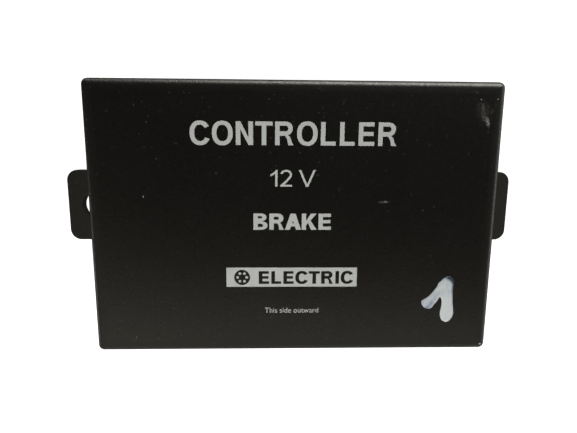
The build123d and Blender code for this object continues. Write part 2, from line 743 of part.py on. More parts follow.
trimmer_pins = []
for name, x, y in TRIMMERS:
    save(f"{name}_trimmer_body", trimmer_body(x, y))
    save(f"{name}_trimmer_rotor", trimmer_rotor(x, y))
    trimmer_pins += [round_lead(x + dx, y + dy, BOARD_TOP + 0.3, 0.3) for dx, dy in TRIMMER_PINS]
save("trimmer_pins", *trimmer_pins)


# ---------------------------------------------------------------- surface-mounted chips
def gull_lead(width, reach, top):
    """Gull-wing lead along +X from the body side, as an extruded strip centred on Y=0."""
    thick = 0.18
    bottom = BOARD_TOP
    outline = [  # (x, z)
        (0, top),
        (reach * 0.35, top),
        (reach * 0.55, bottom + thick),
        (reach, bottom + thick),
        (reach, bottom),
        (reach * 0.55 - 0.12, bottom),
        (reach * 0.35 - 0.12, top - thick),
        (0, top - thick),
    ]
    face = make_face(Polyline(*[(x, 0, z) for x, z in outline], close=True))
    return extrude(face, width / 2, dir=(0, 1, 0), both=True)


def package_body(x, y, width, height, z_from, z_to):
    """Body with chamfered top edges and a round mark near one corner."""
    body = block(x, y, width / 2, height / 2, z_from, z_to)
    body = chamfer(face_edges(body), 0.2)
    return body - cyl(x - width / 2 + 1.1, y + height / 2 - 1.1, z_to - 0.15, z_to + 1, 0.45)


def package_leads(x, y, width, height, strip, per_side, pitch, angles):
    """Row of lead strips on each side named by its angle from +X."""
    leads = []
    for angle in angles:
        across = width if angle % 180 == 0 else height
        for i in range(per_side):
            along = (i - (per_side - 1) / 2) * pitch
            place = Pos(x, y, 0) * Rot(0, 0, angle) * Pos(across / 2, along, 0)
            leads.append(place * strip)
    return leads


def save_package(name, place, z_from, z_to, lead_w, reach, **rows):
    strip = gull_lead(lead_w, reach, (z_from + z_to) / 2 + 0.09)
    save(name, package_body(*place, z_from, z_to))
    save(f"{name}_leads", *package_leads(*place, strip, **rows))


# place is (x, y, width, height)
save_package(
    "microcontroller", place=(7.0, -4.0, 10.0, 10.0),
    z_from=BOARD_TOP + 0.1, z_to=BOARD_TOP + 1.5, lead_w=0.35, reach=1.0,
    per_side=11, pitch=0.8, angles=(0, 90, 180, 270),
)
save_package(
    "motion_sensor", place=(8.5, 11.0, 10.3, 7.5),
    z_from=BOARD_TOP + 0.15, z_to=BOARD_TOP + 2.45, lead_w=0.4, reach=1.4,
    per_side=8, pitch=1.27, angles=(90, 270),
)

CRYSTAL_X, CRYSTAL_Y, CRYSTAL_Z = 18.0, -3.0, BOARD_TOP + 0.1


def make_crystal():
    """Slot-shaped can on a wider flange."""
    place = Pos(CRYSTAL_X, CRYSTAL_Y, CRYSTAL_Z)
    crystal = place * extrude(SlotOverall(10.2, 3.9, rotation=90), 3.4)
    crystal = fillet(face_edges(crystal), 0.5)
    return crystal + place * extrude(SlotOverall(11.2, 4.7, rotation=90), 0.45)


save("clock_crystal", make_crystal())
crystal_leads = [
    round_lead(CRYSTAL_X, CRYSTAL_Y + side * 2.44, CRYSTAL_Z, 0.22) for side in SIDES
]

# (x, y, quarter turns)
CHIP_RESISTORS = [
    (1, 3.9, 0), (4, 3.9, 0), (7, 3.9, 0), (14.4, -7, 1), (14.4, -3, 1), (22.4, -11, 0),
    (22.4, -8.5, 0), (22.4, -6, 0), (17.5, 6, 0), (17.5, 8.5, 0), (17.5, 11, 0),
    (20.5, 13.5, 0), (20.5, 16, 0), (1, -12, 0), (4, -12, 0), (7, -12, 0), (21.8, -14, 0),
    (21.8, -17, 0), (38, -11, 0), (41, -11, 0), (-34, 21.5, 0), (-31, 21.5, 0), (-28, 21.5, 0),
]
CHIP_CAPACITORS = [
    (10, 3.9, 0), (13, 3.9, 0), (14.4, 1, 1), (22.4, -3.5, 0), (22.4, -1, 0), (17.5, 13.5, 0),
    (17.5, 16, 0), (20.5, 6, 0), (20.5, 8.5, 0), (20.5, 11, 0), (10, -12, 0), (13, -12, 0),
    (21.8, -20, 0), (21.8, -23, 0), (38, -13.6, 0), (41, -13.6, 0), (-25, 21.5, 0),
    (-22, 21.5, 0), (-19, 21.5, 0),
]
CHIP_HALF = 0.62  # half length and half width of the body
TERMINAL_L = 0.38


def chip(x, y, turns, height):
    top = BOARD_TOP + height
    place = Pos(x, y, 0) * Rot(0, 0, 90 * turns)
    body = block(0, 0, CHIP_HALF, CHIP_HALF, BOARD_TOP + 0.02, top)
    ends = [
        box(
            side * CHIP_HALF, side * (CHIP_HALF + TERMINAL_L),
            -CHIP_HALF, CHIP_HALF, BOARD_TOP, top + 0.03,
        )
        for side in SIDES
    ]
    return place * body, [place * end for end in ends]


terminals = []
for name, table, height in (
    ("chip_resistors", CHIP_RESISTORS, 0.5),
    ("chip_capacitors", CHIP_CAPACITORS, 0.85),
):
    bodies = []
    for row in table:
        body, ends = chip(*row, height)
        bodies.append(body)
        terminals += ends
    save(name, *bodies)
save("chip_terminals", *terminals)

# ---------------------------------------------------------------- leaded parts
AXIAL_X, AXIAL_Z = 8.5, BOARD_TOP + 1.3
AXIAL_ROWS_Y = (18.6, 21.2, 23.8)
DIODE_X, DIODE_Y, DIODE_Z = -25.0, -8.5, BOARD_TOP + 3.1
DIODE_HALF = 3.6
SHUNT_Y, SHUNT_TOP, SHUNT_T = 23.0, 14.2, 0.8
SHUNT_X_MIN, SHUNT_X_MAX = 19.0, 33.0
LED_X, LED_Y = 44.4, 5.0
HEADER_X = (42.23, 44.77)
HEADER_Y = (-7.54, -5.0, -2.46)


def axial_resistor(y):
    """Cylinder along X with a thicker collar at each end."""
    body = Pos(AXIAL_X, y, AXIAL_Z) * Rot(0, 90, 0) * Cylinder(0.95, 6.3)
    for side in SIDES:
        place = Pos(AXIAL_X + side * 2.45, y, AXIAL_Z)
        body = body + place * Rot(0, 90, 0) * Cylinder(1.15, 1.5)
    return body


def axial_lead(y, side):
    half = 0.25
    top = AXIAL_Z + half
    arm = box(
        AXIAL_X + side * 3.2, AXIAL_X + side * 5.25, y - half, y + half, AXIAL_Z - half, top
    )
    return arm + lead(AXIAL_X + side * 5.0, y, top, half)


def diode_lead(side):
    half = 0.45
    top = DIODE_Z + half
    arm = box(
        DIODE_X - half, DIODE_X + half,
        DIODE_Y + side * DIODE_HALF, DIODE_Y + side * 6.0, DIODE_Z - half, top,
    )
    return arm + lead(DIODE_X, DIODE_Y + side * 5.55, top, half)


def make_shunt():
    """Flat strip bridge along X with a leg at each end."""
    half_w, half_t = 0.8, SHUNT_T / 2
    shunt = box(
        SHUNT_X_MIN, SHUNT_X_MAX, SHUNT_Y - half_w, SHUNT_Y + half_w, SHUNT_TOP - SHUNT_T, SHUNT_TOP
    )
    for x in (SHUNT_X_MIN + half_t, SHUNT_X_MAX - half_t):
        shunt = shunt + block(x, SHUNT_Y, half_t, half_w, BOARD_UNDER, SHUNT_TOP)
        drill(x, SHUNT_Y, 0.95)
    top_ends = [e for e in shunt.edges().filter_by(Axis.Y) if e.center().Z > SHUNT_TOP - 0.1]
    return fillet(top_ends, 0.7)


def make_led():
    dome_z = BOARD_TOP + 3.7
    led = cyl(LED_X, LED_Y, BOARD_TOP + 0.2, BOARD_TOP + 1.2, 1.9)
    led = led + cyl(LED_X, LED_Y, BOARD_TOP + 1.2, dome_z, 1.5)
    return led + Pos(LED_X, LED_Y, dome_z) * Sphere(1.5)


def header_pin(x, y):
    drill(x, y, 0.4)
    return block(x, y, 0.32, 0.32, BOARD_UNDER, BOARD_TOP + 8.4)


def make_header(pins):
    header = box(41.0, 46.0, -8.8, -1.2, BOARD_TOP, BOARD_TOP + 2.5)
    for pin in pins:
        header = header - pin
    return header


save("axial_resistors", *[axial_resistor(y) for y in AXIAL_ROWS_Y])
diode = cyl_y(DIODE_X, DIODE_Z, DIODE_Y - DIODE_HALF, DIODE_Y + DIODE_HALF, 2.7)
save("protection_diode", fillet(circles(diode), 0.3))
axial_leads = [axial_lead(y, side) for y in AXIAL_ROWS_Y for side in SIDES]
axial_leads += [diode_lead(side) for side in SIDES]
save("axial_leads", *axial_leads, *crystal_leads)
save("current_shunt", make_shunt())
save("status_led", make_led())
led_leads = [lead(LED_X, LED_Y + side * 1.27, BOARD_TOP + 0.2, 0.25) for side in SIDES]
header_pins = [header_pin(x, y) for x in HEADER_X for y in HEADER_Y]
save("service_header", make_header(header_pins))
save("service_header_pins", *header_pins, *led_leads)


# ---------------------------------------------------------------- board and solder
def hole_radius(half):
    """Hole that clears the corners of a square lead."""
    return half * 1.42 + 0.12


def make_board():
    board = box(-BOARD_X, BOARD_X, BOARD_Y_MIN, BOARD_Y_MAX, BOARD_UNDER, BOARD_TOP)
    # square corner cut-outs that clear the case bosses
    for side in SIDES:
        for y_from, y_to in ((BOARD_Y_MIN - 1, -25.3), (25.3, BOARD_Y_MAX + 1)):
            board = board - box(side * 42.6, side * (BOARD_X + 1), y_from, y_to, 0, 20)
    holes = [cyl(x, y, 0, 20, M3_R + 0.15) for x, y in SPACERS]
    holes += [cyl(x, y, 0, 20, hole_radius(half)) for x, y, half in THROUGH]
    return board - holes


def solder_joint(x, y, half):
    widest = 1.35 if half < 0.9 else 2.0
    top_r = min(hole_radius(half) + 0.45, widest)
    return cone(x, y, BOARD_UNDER - 0.85, BOARD_UNDER, half * 0.75, top_r)


def make_solder():
    """All joints, with those that run together merged."""
    solder = solder_joint(*THROUGH[0])
    for row in THROUGH[1:]:
        solder = solder + solder_joint(*row)
    return solder


save("circuit_board", make_board())
save("solder_joints", make_solder())
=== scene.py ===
# A 12 V electric brake controller: a coated box on a base plate, with its circuit board inside.
# It lies with the printed front face up (+Z). The printing reads along +X and its top is
# towards +Y. Scene units are metres; outlines and positions on face and board are in
# millimetres until they are scaled by MM.
import math
import random

import bpy
import numpy as np
from mathutils import Matrix, Vector
from mathutils.geometry import delaunay_2d_cdt


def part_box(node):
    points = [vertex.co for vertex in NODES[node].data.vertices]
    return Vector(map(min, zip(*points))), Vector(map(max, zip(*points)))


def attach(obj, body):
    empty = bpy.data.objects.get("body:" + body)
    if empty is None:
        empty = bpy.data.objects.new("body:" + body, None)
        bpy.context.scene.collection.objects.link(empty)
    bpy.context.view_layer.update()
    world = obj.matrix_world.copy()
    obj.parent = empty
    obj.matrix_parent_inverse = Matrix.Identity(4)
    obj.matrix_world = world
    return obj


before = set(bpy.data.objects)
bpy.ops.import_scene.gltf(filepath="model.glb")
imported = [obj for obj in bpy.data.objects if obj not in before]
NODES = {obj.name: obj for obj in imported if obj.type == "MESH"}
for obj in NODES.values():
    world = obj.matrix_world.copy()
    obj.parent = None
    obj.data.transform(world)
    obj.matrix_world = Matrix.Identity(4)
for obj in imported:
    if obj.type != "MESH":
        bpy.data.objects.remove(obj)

bpy.context.view_layer.update()
MM = 0.001
random.seed(11)


# ------------------------------------------------------------------ places, read from the frame
def middle(low, high):
    """The X and Y of a box's centre."""
    return (low[0] + high[0]) / 2, (low[1] + high[1]) / 2


HOUSING_LOW, HOUSING_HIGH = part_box("housing")
FACE_X, FACE_Y = middle(HOUSING_LOW, HOUSING_HIGH)
FACE_Z = HOUSING_HIGH.z
BOARD_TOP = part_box("circuit_board")[1].z
PLATE_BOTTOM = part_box("base_plate")[0].z

# half sizes in X and Y, and the height, of the space inside the housing's skin
WALLS = (
    abs(HOUSING_HIGH.x) - 0.0021,
    (HOUSING_HIGH.y - HOUSING_LOW.y) / 2 - 0.0021,
    FACE_Z - 0.0022,
)


# ------------------------------------------------------------------ node helpers
MIDDLE = (0.3, 0.7)  # the range that most noise values fall in


def shade(tone, factor):
    return tuple(c * factor for c in tone)


class Mat:
    """A node material with one Principled shader and short helpers for the graph behind it."""

    def __init__(self, name):
        self.material = bpy.data.materials.new(name)
        self.material.use_nodes = True
        self.tree = self.material.node_tree
        self.tree.nodes.clear()
        self.out = self.node("OutputMaterial")
        self.bsdf = self.node("BsdfPrincipled")
        self.put(self.out.inputs[0], self.bsdf.outputs[0])
        self.place = self.node("TexCoord").outputs["Object"]

    def put(self, socket, value):
        """Link an output to the socket, or set its value; colours are given as three numbers."""
        if isinstance(value, bpy.types.NodeSocket):
            self.tree.links.new(value, socket)
        else:
            socket.default_value = (*value, 1) if socket.type == "RGBA" else value

    def node(self, kind, inputs=None, **settings):
        node = self.tree.nodes.new("ShaderNode" + kind)
        for key, value in settings.items():
            setattr(node, key, value)
        for key, value in (inputs or {}).items():
            self.put(node.inputs[key], value)
        return node

    def noise(self, scale, detail=3.0, rough=0.6, vector=None):
        inputs = {"Vector": vector or self.place, "Scale": scale}
        inputs.update({"Detail": detail, "Roughness": rough})
        return self.node("TexNoise", inputs).outputs["Fac"]

    def voronoi(self, scale, feature="F1", output="Distance"):
        inputs = {"Vector": self.place, "Scale": scale}
        return self.node("TexVoronoi", inputs, feature=feature).outputs[output]

    def ramp(self, value, over, to=(0.0, 1.0)):
        """Map the range `over` to the range `to`, clamped. `over` may run downwards."""
        inputs = {"Value": value, "From Min": over[0], "From Max": over[1]}
        inputs.update({"To Min": to[0], "To Max": to[1]})
        return self.node("MapRange", inputs, clamp=True).outputs[0]

    def spread(self, noise, low, high):
        """Noise mapped to run from low to high."""
        return self.ramp(noise, over=MIDDLE, to=(low, high))

    def math(self, operation, first, second=0.0):
        return self.node("Math", {0: first, 1: second}, operation=operation).outputs[0]

    def times(self, first, second):
        return self.math("MULTIPLY", first, second)

    def add(self, first, second):
        return self.math("ADD", first, second)

    def most(self, first, second):
        return self.math("MAXIMUM", first, second)

    def size(self, value):
        return self.math("ABSOLUTE", value)

    def off(self, value, centre):
        """Distance of a value from a centre."""
        return self.size(self.math("SUBTRACT", value, centre))

    def mix(self, amount, first, second):
        return self.node("Mix", {0: amount, 6: first, 7: second}, data_type="RGBA").outputs[2]

    def mottle(self, noise, first, second):
        """Two colours mixed by noise."""
        return self.mix(self.ramp(noise, over=MIDDLE), first, second)

    def mapping(self, scale, turn=0.0, shift=(0, 0, 0), kind="POINT"):
        """Object coordinates, scaled and turned about Z (radians)."""
        inputs = {"Vector": self.place, "Location": shift}
        inputs.update({"Rotation": (0, 0, turn), "Scale": scale})
        return self.node("Mapping", inputs, vector_type=kind).outputs[0]

    def axis(self, which, vector=None):
        return self.node("SeparateXYZ", {0: vector or self.place}).outputs[which]

    def geometry(self):
        return self.node("NewGeometry").outputs

    def dot(self, first, second):
        node = self.node("VectorMath", {0: first, 1: second}, operation="DOT_PRODUCT")
        return node.outputs["Value"]

    def edge(self, radius, flat, sharp):
        """1 on edges, 0 on flats: the rounded normal's agreement, from flat to sharp."""
        bevel = self.node("Bevel", {"Radius": radius}, samples=6)
        agreement = self.dot(bevel.outputs[0], self.geometry()["Normal"])
        return self.ramp(agreement, over=(flat, sharp))

    def spot(self, x, y, radius_x, radius_y, turn, ragged):
        """A ragged oval patch on the front face, in millimetres from the face's centre."""
        vector = self.mapping(
            shift=(FACE_X + x * MM, FACE_Y + y * MM, FACE_Z),
            turn=math.radians(turn),
            scale=(radius_x * MM, radius_y * MM, 1.5 * MM),
            kind="TEXTURE",
        )
        length = self.node("VectorMath", {0: vector}, operation="LENGTH").outputs["Value"]
        wobble = self.math("SUBTRACT", self.noise(2600, detail=4, rough=0.65), 0.5)
        reach = self.add(length, self.times(wobble, ragged * 4))
        return self.ramp(reach, over=(1.0, 0.1))

    def finish(self, colour, rough, height, depth, strength=0.5, others=None):
        """Fill in the shader, with a bump from height, and return the material."""
        bump = self.node("Bump", {"Strength": strength, "Distance": depth, "Height": height})
        inputs = {"Base Color": colour, "Roughness": rough, "Normal": bump.outputs[0]}
        inputs.update(others or {})
        for key, value in inputs.items():
            self.put(self.bsdf.inputs[key], value)
        return self.material


# ------------------------------------------------------------------ powder coat
def dust_and_scratches(mat):
    """Dust and tiny chips, denser towards +Y, and hair scratches in patches."""
    density = mat.ramp(mat.axis(1), over=(0.006, 0.032), to=(0.0, 0.38))
    density = mat.add(1.0, density)

    def specks(scale, channel, radius, chance, strength):
        cells = mat.voronoi(scale)
        draw = mat.axis(channel, mat.voronoi(scale, output="Color"))
        draw = mat.times(draw, density)
        shown = mat.times(mat.ramp(cells, over=radius), mat.ramp(draw, over=chance))
        return mat.times(shown, strength)

    marks = mat.most(
        specks(330, channel=0, radius=(0.085, 0.045), chance=(0.88, 0.97), strength=0.46),
        specks(900, channel=1, radius=(0.22, 0.08), chance=(0.95, 1.02), strength=0.40),
    )
    lines = None
    for turn, shift in ((0.5, 0.03), (1.35, 0.07), (2.3, 0.11)):
        vector = mat.mapping(scale=(60, 2600, 60), turn=turn, shift=(shift, shift, 0))
        hair = mat.noise(1.0, detail=2, rough=0.5, vector=vector)
        hair = mat.ramp(hair, over=(0.735, 0.79))
        lines = hair if lines is None else mat.most(lines, hair)
    patches = mat.ramp(mat.noise(70, detail=2, rough=0.5), over=(0.52, 0.64), to=(0, 0.34))
    return mat.most(marks, mat.times(lines, patches))


def scuff(mat, colour, rough, spots):
    """Scuffs are made of many small chips, so a fine speckle breaks the ragged ones up."""
    speckle = mat.noise(4300, rough=0.7)
    speckle = mat.ramp(speckle, over=(0.44, 0.58), to=(0.12, 1.0))
    for x, y, radius_x, radius_y, turn, strength, tone, ragged in spots:
        patch = mat.times(mat.spot(x, y, radius_x, radius_y, turn, ragged), strength)
        if ragged > 0.4:
            patch = mat.times(patch, speckle)
        colour = mat.mix(patch, colour, tone)
        rough = mat.add(rough, mat.times(patch, 0.15))
    return colour, rough


def rub_edges(mat, colour):
    """The coat thins to a polished line on outside edges, and in places to bare metal."""
    worn = mat.ramp(mat.noise(420, detail=4, rough=0.65), over=(0.46, 0.72))
    rub = mat.times(mat.edge(0.0006, flat=0.985, sharp=0.90), worn)
    colour = mat.mix(mat.times(rub, 0.30), colour, (0.11, 0.108, 0.10))
    worn = mat.ramp(mat.noise(300), over=(0.70, 0.76))
    bare = mat.times(mat.edge(0.0004, flat=0.9, sharp=0.72), worn)
    return mat.mix(mat.times(bare, 0.8), colour, (0.45, 0.45, 0.44))


def from_middle(mat):
    """Distances from the housing's middle planes, in X and in Y."""
    return mat.size(mat.axis(0)), mat.off(mat.axis(1), FACE_Y)


def powder(name, base, light, rough, specular, grain=1.0, spots=(), walls=None):
    """Fine-textured black powder coat with handling marks; bare casting inside the walls."""
    mat = Mat(name)
    cloud = mat.ramp(mat.noise(55, detail=4), over=(0.35, 0.68))
    flecks = mat.ramp(mat.noise(2300, detail=2), over=(0.50, 0.72), to=(0, 0.55))
    colour = mat.mix(flecks, mat.mix(cloud, base, light), shade(light, 2.2))
    rough = mat.spread(mat.noise(900, detail=4), rough - 0.015, rough + 0.02)
    others = {"Specular IOR Level": specular, "Specular Tint": (1.0, 0.965, 0.90)}

    # coat texture: small rounded pimples with finer grain over them
    pimples = mat.voronoi(1900 / grain, feature="SMOOTH_F1")
    fine = mat.noise(4200 / grain, detail=2)
    height = mat.add(mat.times(pimples, 0.6), mat.times(fine, 0.5))

    colour = mat.mix(dust_and_scratches(mat), colour, (0.085, 0.083, 0.075))
    if spots:
        colour, rough = scuff(mat, colour, rough, spots)
    colour = rub_edges(mat, colour)

    if walls:
        # a mask that is 1 well inside the outer skin
        reach_x, reach_y = from_middle(mat)
        deep_x, deep_y, deep_z = (
            mat.ramp(reach, over=(wall + 0.0003, wall))
            for reach, wall in zip((reach_x, reach_y, mat.axis(2)), walls)
        )
        deep = mat.times(mat.times(deep_x, deep_y), deep_z)
        cast = mat.mottle(mat.noise(900, detail=4), (0.30, 0.30, 0.295), (0.46, 0.46, 0.45))
        colour = mat.mix(deep, colour, cast)
        rough = mat.add(rough, mat.times(deep, 0.08))
        others["Metallic"] = mat.times(deep, 0.85)

    # the coat pulls thin and pebbly round the corners, which breaks up their highlight
    upright = mat.size(mat.axis(2, mat.geometry()["Normal"]))
    bend = mat.times(mat.ramp(upright, over=(0.998, 0.93)), mat.ramp(upright, over=(0.02, 0.15)))
    height = mat.times(height, mat.add(1.0, mat.times(bend, 1.3)))
    pebbles = mat.ramp(mat.noise(1900, rough=0.7), over=(0.38, 0.62), to=(-0.09, 0.13))
    rough = mat.add(rough, mat.times(bend, pebbles))
    if walls:
        # a little duller towards the rim of the face
        near_x, near_y = (
            mat.ramp(reach, over=(wall - 0.0012, wall + 0.0008))
            for reach, wall in zip(from_middle(mat), walls)
        )
        rough = mat.add(rough, mat.times(mat.most(near_x, near_y), 0.09))

    # seen at a low angle the flat coat scatters more, so a lamp behind it doesn't burn it out
    geometry = mat.geometry()
    facing = mat.size(mat.dot(geometry["Incoming"], geometry["Normal"]))
    low = mat.ramp(facing, over=(0.80, 0.52), to=(0.0, 0.38))
    rough = mat.add(rough, mat.times(low, mat.math("SUBTRACT", 1.0, bend)))
    return mat.finish(colour, rough, height, depth=0.00007, strength=0.55, others=others)


# ------------------------------------------------------------------ general materials
def metal(name, base, dark, rough, scale, scratch=0.0, depth=0.00002):
    """Bare or plated metal; scratch is the weight of a fine grain along X."""
    mat = Mat(name)
    height = tone = mat.noise(scale, detail=4)
    slow = mat.noise(scale * 0.12, rough=0.5)
    colour = mat.mix(mat.ramp(tone, over=(0.3, 0.72)), base, dark)
    stain = mat.ramp(slow, over=(0.5, 0.75), to=(0, 0.35))
    colour = mat.mix(stain, colour, shade(dark, 0.75))
    if scratch:
        grain = mat.noise(1.0, vector=mat.mapping(scale=(90, 5200, 5200)))
        height = mat.add(tone, mat.times(grain, scratch))
        rough = mat.spread(grain, rough - 0.06, rough + 0.1)
    else:
        rough = mat.spread(slow, rough - 0.05, rough + 0.1)
    return mat.finish(colour, rough, height, depth, others={"Metallic": 1.0})


def plastic(name, base, light, rough, grain=3000, depth=0.00002, coat=0.0):
    """Opaque moulding, with a painted highlight: its edges are painted slightly paler."""
    mat = Mat(name)
    fine = mat.noise(grain)
    slow = mat.noise(grain * 0.05, rough=0.5)
    colour = mat.mix(mat.ramp(slow, over=(0.32, 0.7)), base, light)
    # painted highlight: the edges are painted paler, towards a lightened copy of the light tone
    edge = mat.times(mat.edge(0.00025, flat=0.98, sharp=0.88), 0.22)
    colour = mat.mix(edge, colour, tuple(min(1, c * 1.8 + 0.03) for c in light))
    rough = mat.spread(slow, rough - 0.05, rough + 0.06)
    others = {"Coat Weight": coat, "Coat Roughness": 0.12} if coat else {}
    return mat.finish(colour, rough, fine, depth, others=others)


def clear_plastic(name, tint, rough, transmission):
    mat = Mat(name)
    slow = mat.noise(180, rough=0.5)
    return mat.finish(
        colour=mat.mottle(slow, tint, shade(tint, 0.88)),
        rough=mat.spread(slow, rough, rough + 0.06),
        height=mat.noise(700, detail=2, rough=0.5),
        depth=0.00002,
        strength=0.4,
        others={"Transmission Weight": transmission, "IOR": 1.45},
    )


# ------------------------------------------------------------------ materials of single parts
def can_material():
    """Drawn aluminium can: satin, with fine rings stacked up its height."""
    mat = Mat("drawn_can")
    rings = mat.noise(1.0, vector=mat.mapping(scale=(500, 500, 6000)))
    return mat.finish(
        colour=mat.mottle(mat.noise(700), (0.80, 0.80, 0.80), (0.62, 0.62, 0.62)),
        rough=mat.spread(rings, 0.20, 0.36),
        height=rings,
        depth=0.00002,
        strength=0.4,
        others={"Metallic": 1.0},
    )


def sleeve_material():
    """Shrink sleeve with a pale stripe down the side that faces -X on each can."""
    mat = Mat("shrink_sleeve")
    slow = mat.noise(300, rough=0.5)
    colour = mat.mottle(slow, (0.010, 0.020, 0.090), (0.016, 0.032, 0.13))
    normal = mat.geometry()["Normal"]
    sideways = mat.size(mat.axis(1, normal))
    faces_left = mat.ramp(mat.axis(0, normal), over=(-0.86, -0.90))
    stripe = mat.times(faces_left, mat.ramp(sideways, over=(0.52, 0.46)))
    # dark dashes down the middle of the stripe, 260 to the metre
    dash = mat.math("FRACT", mat.times(mat.axis(2), 260))
    dash = mat.ramp(dash, over=(0.48, 0.52))
    dash = mat.times(mat.ramp(sideways, over=(0.12, 0.09)), dash)
    return mat.finish(
        colour=mat.mix(stripe, colour, mat.mix(dash, (0.55, 0.58, 0.62), (0.02, 0.03, 0.09))),
        rough=mat.spread(slow, 0.26, 0.36),
        height=mat.noise(1200, detail=2, rough=0.5),
        depth=0.00003,
        strength=0.4,
        others={"Coat Weight": 0.4},
    )


def board_material():
    """Green mask over copper on top and bottom, bare laminate on the edges."""
    mat = Mat("solder_mask")
    level = mat.size(mat.axis(2, mat.geometry()["Normal"]))
    slow = mat.noise(60, detail=4, rough=0.55)
    mask = mat.mottle(slow, (0.006, 0.070, 0.030), (0.010, 0.100, 0.045))
    # glass cloth showing faintly through the mask
    thread_x, thread_y = (
        mat.size(mat.math("SINE", mat.times(mat.axis(which), 7000))) for which in (0, 1)
    )
    weave = mat.times(thread_x, thread_y)
    mask = mat.mix(mat.times(weave, 0.12), mask, (0.015, 0.15, 0.07))
    edge = mat.mottle(mat.noise(2500), (0.36, 0.33, 0.14), (0.50, 0.46, 0.24))
    return mat.finish(
        colour=mat.mix(mat.ramp(level, over=(0.7, 0.5)), mask, edge),
        rough=mat.ramp(level, over=(0.5, 0.7), to=(0.75, 0.27)),
        height=mat.add(mat.noise(800, rough=0.5), mat.times(weave, 0.3)),
        depth=0.00002,
        strength=0.4,
        others={
            "Coat Weight": mat.ramp(level, over=(0.5, 0.7), to=(0.0, 0.5)),
            "Coat Roughness": 0.15,
        },
    )


def ferrite_material():
    """Coated ring core, its upper flat face in a second colour, as powder cores are coded."""
    mat = Mat("coated_core")
    tone = mat.noise(650, detail=4)
    colour = mat.mottle(tone, (0.03, 0.19, 0.07), (0.05, 0.26, 0.11))
    painted = mat.ramp(mat.axis(2), over=(0.0190, 0.0192))
    return mat.finish(
        colour=mat.mix(painted, colour, (0.30, 0.05, 0.03)),
        rough=mat.spread(tone, 0.42, 0.55),
        height=mat.noise(1800),
        depth=0.00006,
    )


def copper_material():
    mat = Mat("enamelled_copper")
    tone = mat.noise(500, rough=0.5)
    return mat.finish(
        colour=mat.mottle(tone, (0.62, 0.20, 0.055), (0.46, 0.13, 0.035)),
        rough=mat.spread(tone, 0.22, 0.32),
        height=mat.noise(2500, detail=2, rough=0.5),
        depth=0.00002,
        strength=0.3,
        others={"Metallic": 0.9, "Coat Weight": 0.7, "Coat Roughness": 0.1},
    )


def coil_material():
    """Fine turns of wire, one above another, with painted shade in the grooves between turns."""
    mat = Mat("coil_wire")
    wave = mat.times(mat.axis(2), 2 * math.pi / 0.00036)
    turns = mat.size(mat.math("SINE", wave))
    return mat.finish(
        # painted shade: the grooves between turns are painted dark, the crests bright
        colour=mat.mix(turns, (0.20, 0.05, 0.015), (0.66, 0.24, 0.07)),
        rough=mat.ramp(turns, over=(0, 1), to=(0.5, 0.25)),
        height=turns,
        depth=0.00006,
        strength=0.8,
        others={"Metallic": 0.8},
    )


def banded_resistors():
    """Lacquered bodies with four colour bands across X."""
    mat = Mat("lacquered_resistor")
    slow = mat.noise(500, rough=0.5)
    colour = mat.mottle(slow, (0.56, 0.38, 0.19), (0.66, 0.47, 0.26))
    along = mat.axis(0)
    centre, _ = middle(*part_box("axial_resistors"))
    # millimetres from the body's middle, and the band's colour
    for place, tone in (
        (-2.2, (0.30, 0.02, 0.015)), (-1.0, (0.16, 0.02, 0.20)),
        (0.1, (0.45, 0.16, 0.01)), (2.2, (0.55, 0.36, 0.06)),
    ):
        band = mat.ramp(mat.off(along, centre + place * MM), over=(0.00036, 0.00030))
        colour = mat.mix(band, colour, tone)
    return mat.finish(
        colour=colour,
        rough=mat.spread(slow, 0.28, 0.4),
        height=mat.noise(2200, detail=2, rough=0.5),
        depth=0.00003,
        strength=0.4,
        others={"Coat Weight": 0.5},
    )


def banded_diode():
    """Black body with a pale band near its +Y end."""
    mat = Mat("diode_body")
    slow = mat.noise(900)
    colour = mat.mottle(slow, (0.016, 0.016, 0.017), (0.028, 0.028, 0.030))
    from_band = mat.off(mat.axis(1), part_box("protection_diode")[1].y - 0.0013)
    band = mat.ramp(from_band, over=(0.00058, 0.00050))
    return mat.finish(
        colour=mat.mix(band, colour, (0.58, 0.58, 0.58)),
        rough=mat.spread(slow, 0.42, 0.52),
        height=mat.noise(3600),
        depth=0.00003,
    )


def ink_material(name, tone, worn):
    """Screen ink: near-flat grey, pinholed, and rubbed thin in places."""
    mat = Mat(name)
    slow = mat.noise(180)
    colour = mat.mottle(slow, tone, shade(tone, 0.90))
    pinholes = mat.ramp(mat.voronoi(1300), over=(0.10, 0.05))
    kept = mat.axis(0, mat.voronoi(1300, output="Color"))
    pinholes = mat.times(pinholes, mat.ramp(kept, over=(0.90, 0.96)))
    rub = mat.ramp(mat.noise(2600, rough=0.7), over=(0.66, 0.78), to=(0, 0.45))
    return mat.finish(
        colour=mat.mix(mat.most(pinholes, rub), colour, worn),
        rough=mat.spread(slow, 0.50, 0.62),
        height=mat.noise(2800),
        depth=0.00003,
    )


def marker_material():
    """Paint-marker film. Where the film is thin, the black shows through as blue grey."""
    mat = Mat("marker_paint")
    cover = mat.node("Attribute", attribute_name="cover").outputs["Fac"]
    streak = mat.noise(1.0, detail=4, vector=mat.mapping(scale=(2400, 260, 500), turn=-0.08))
    slow = mat.noise(420, detail=4)
    thick = cover
    for noise, weight in ((streak, 0.35), (slow, 0.5)):
        thick = mat.add(thick, mat.times(mat.math("SUBTRACT", noise, 0.5), weight))
    thin_film = mat.ramp(thick, over=(0.08, 0.55))
    colour = mat.mix(thin_film, (0.022, 0.027, 0.042), (0.28, 0.33, 0.43))
    return mat.finish(
        colour=mat.mix(mat.ramp(thick, over=(0.45, 0.95)), colour, (0.66, 0.70, 0.70)),
        rough=mat.spread(slow, 0.32, 0.48),
        height=mat.add(streak, slow),
        depth=0.00006,
    )


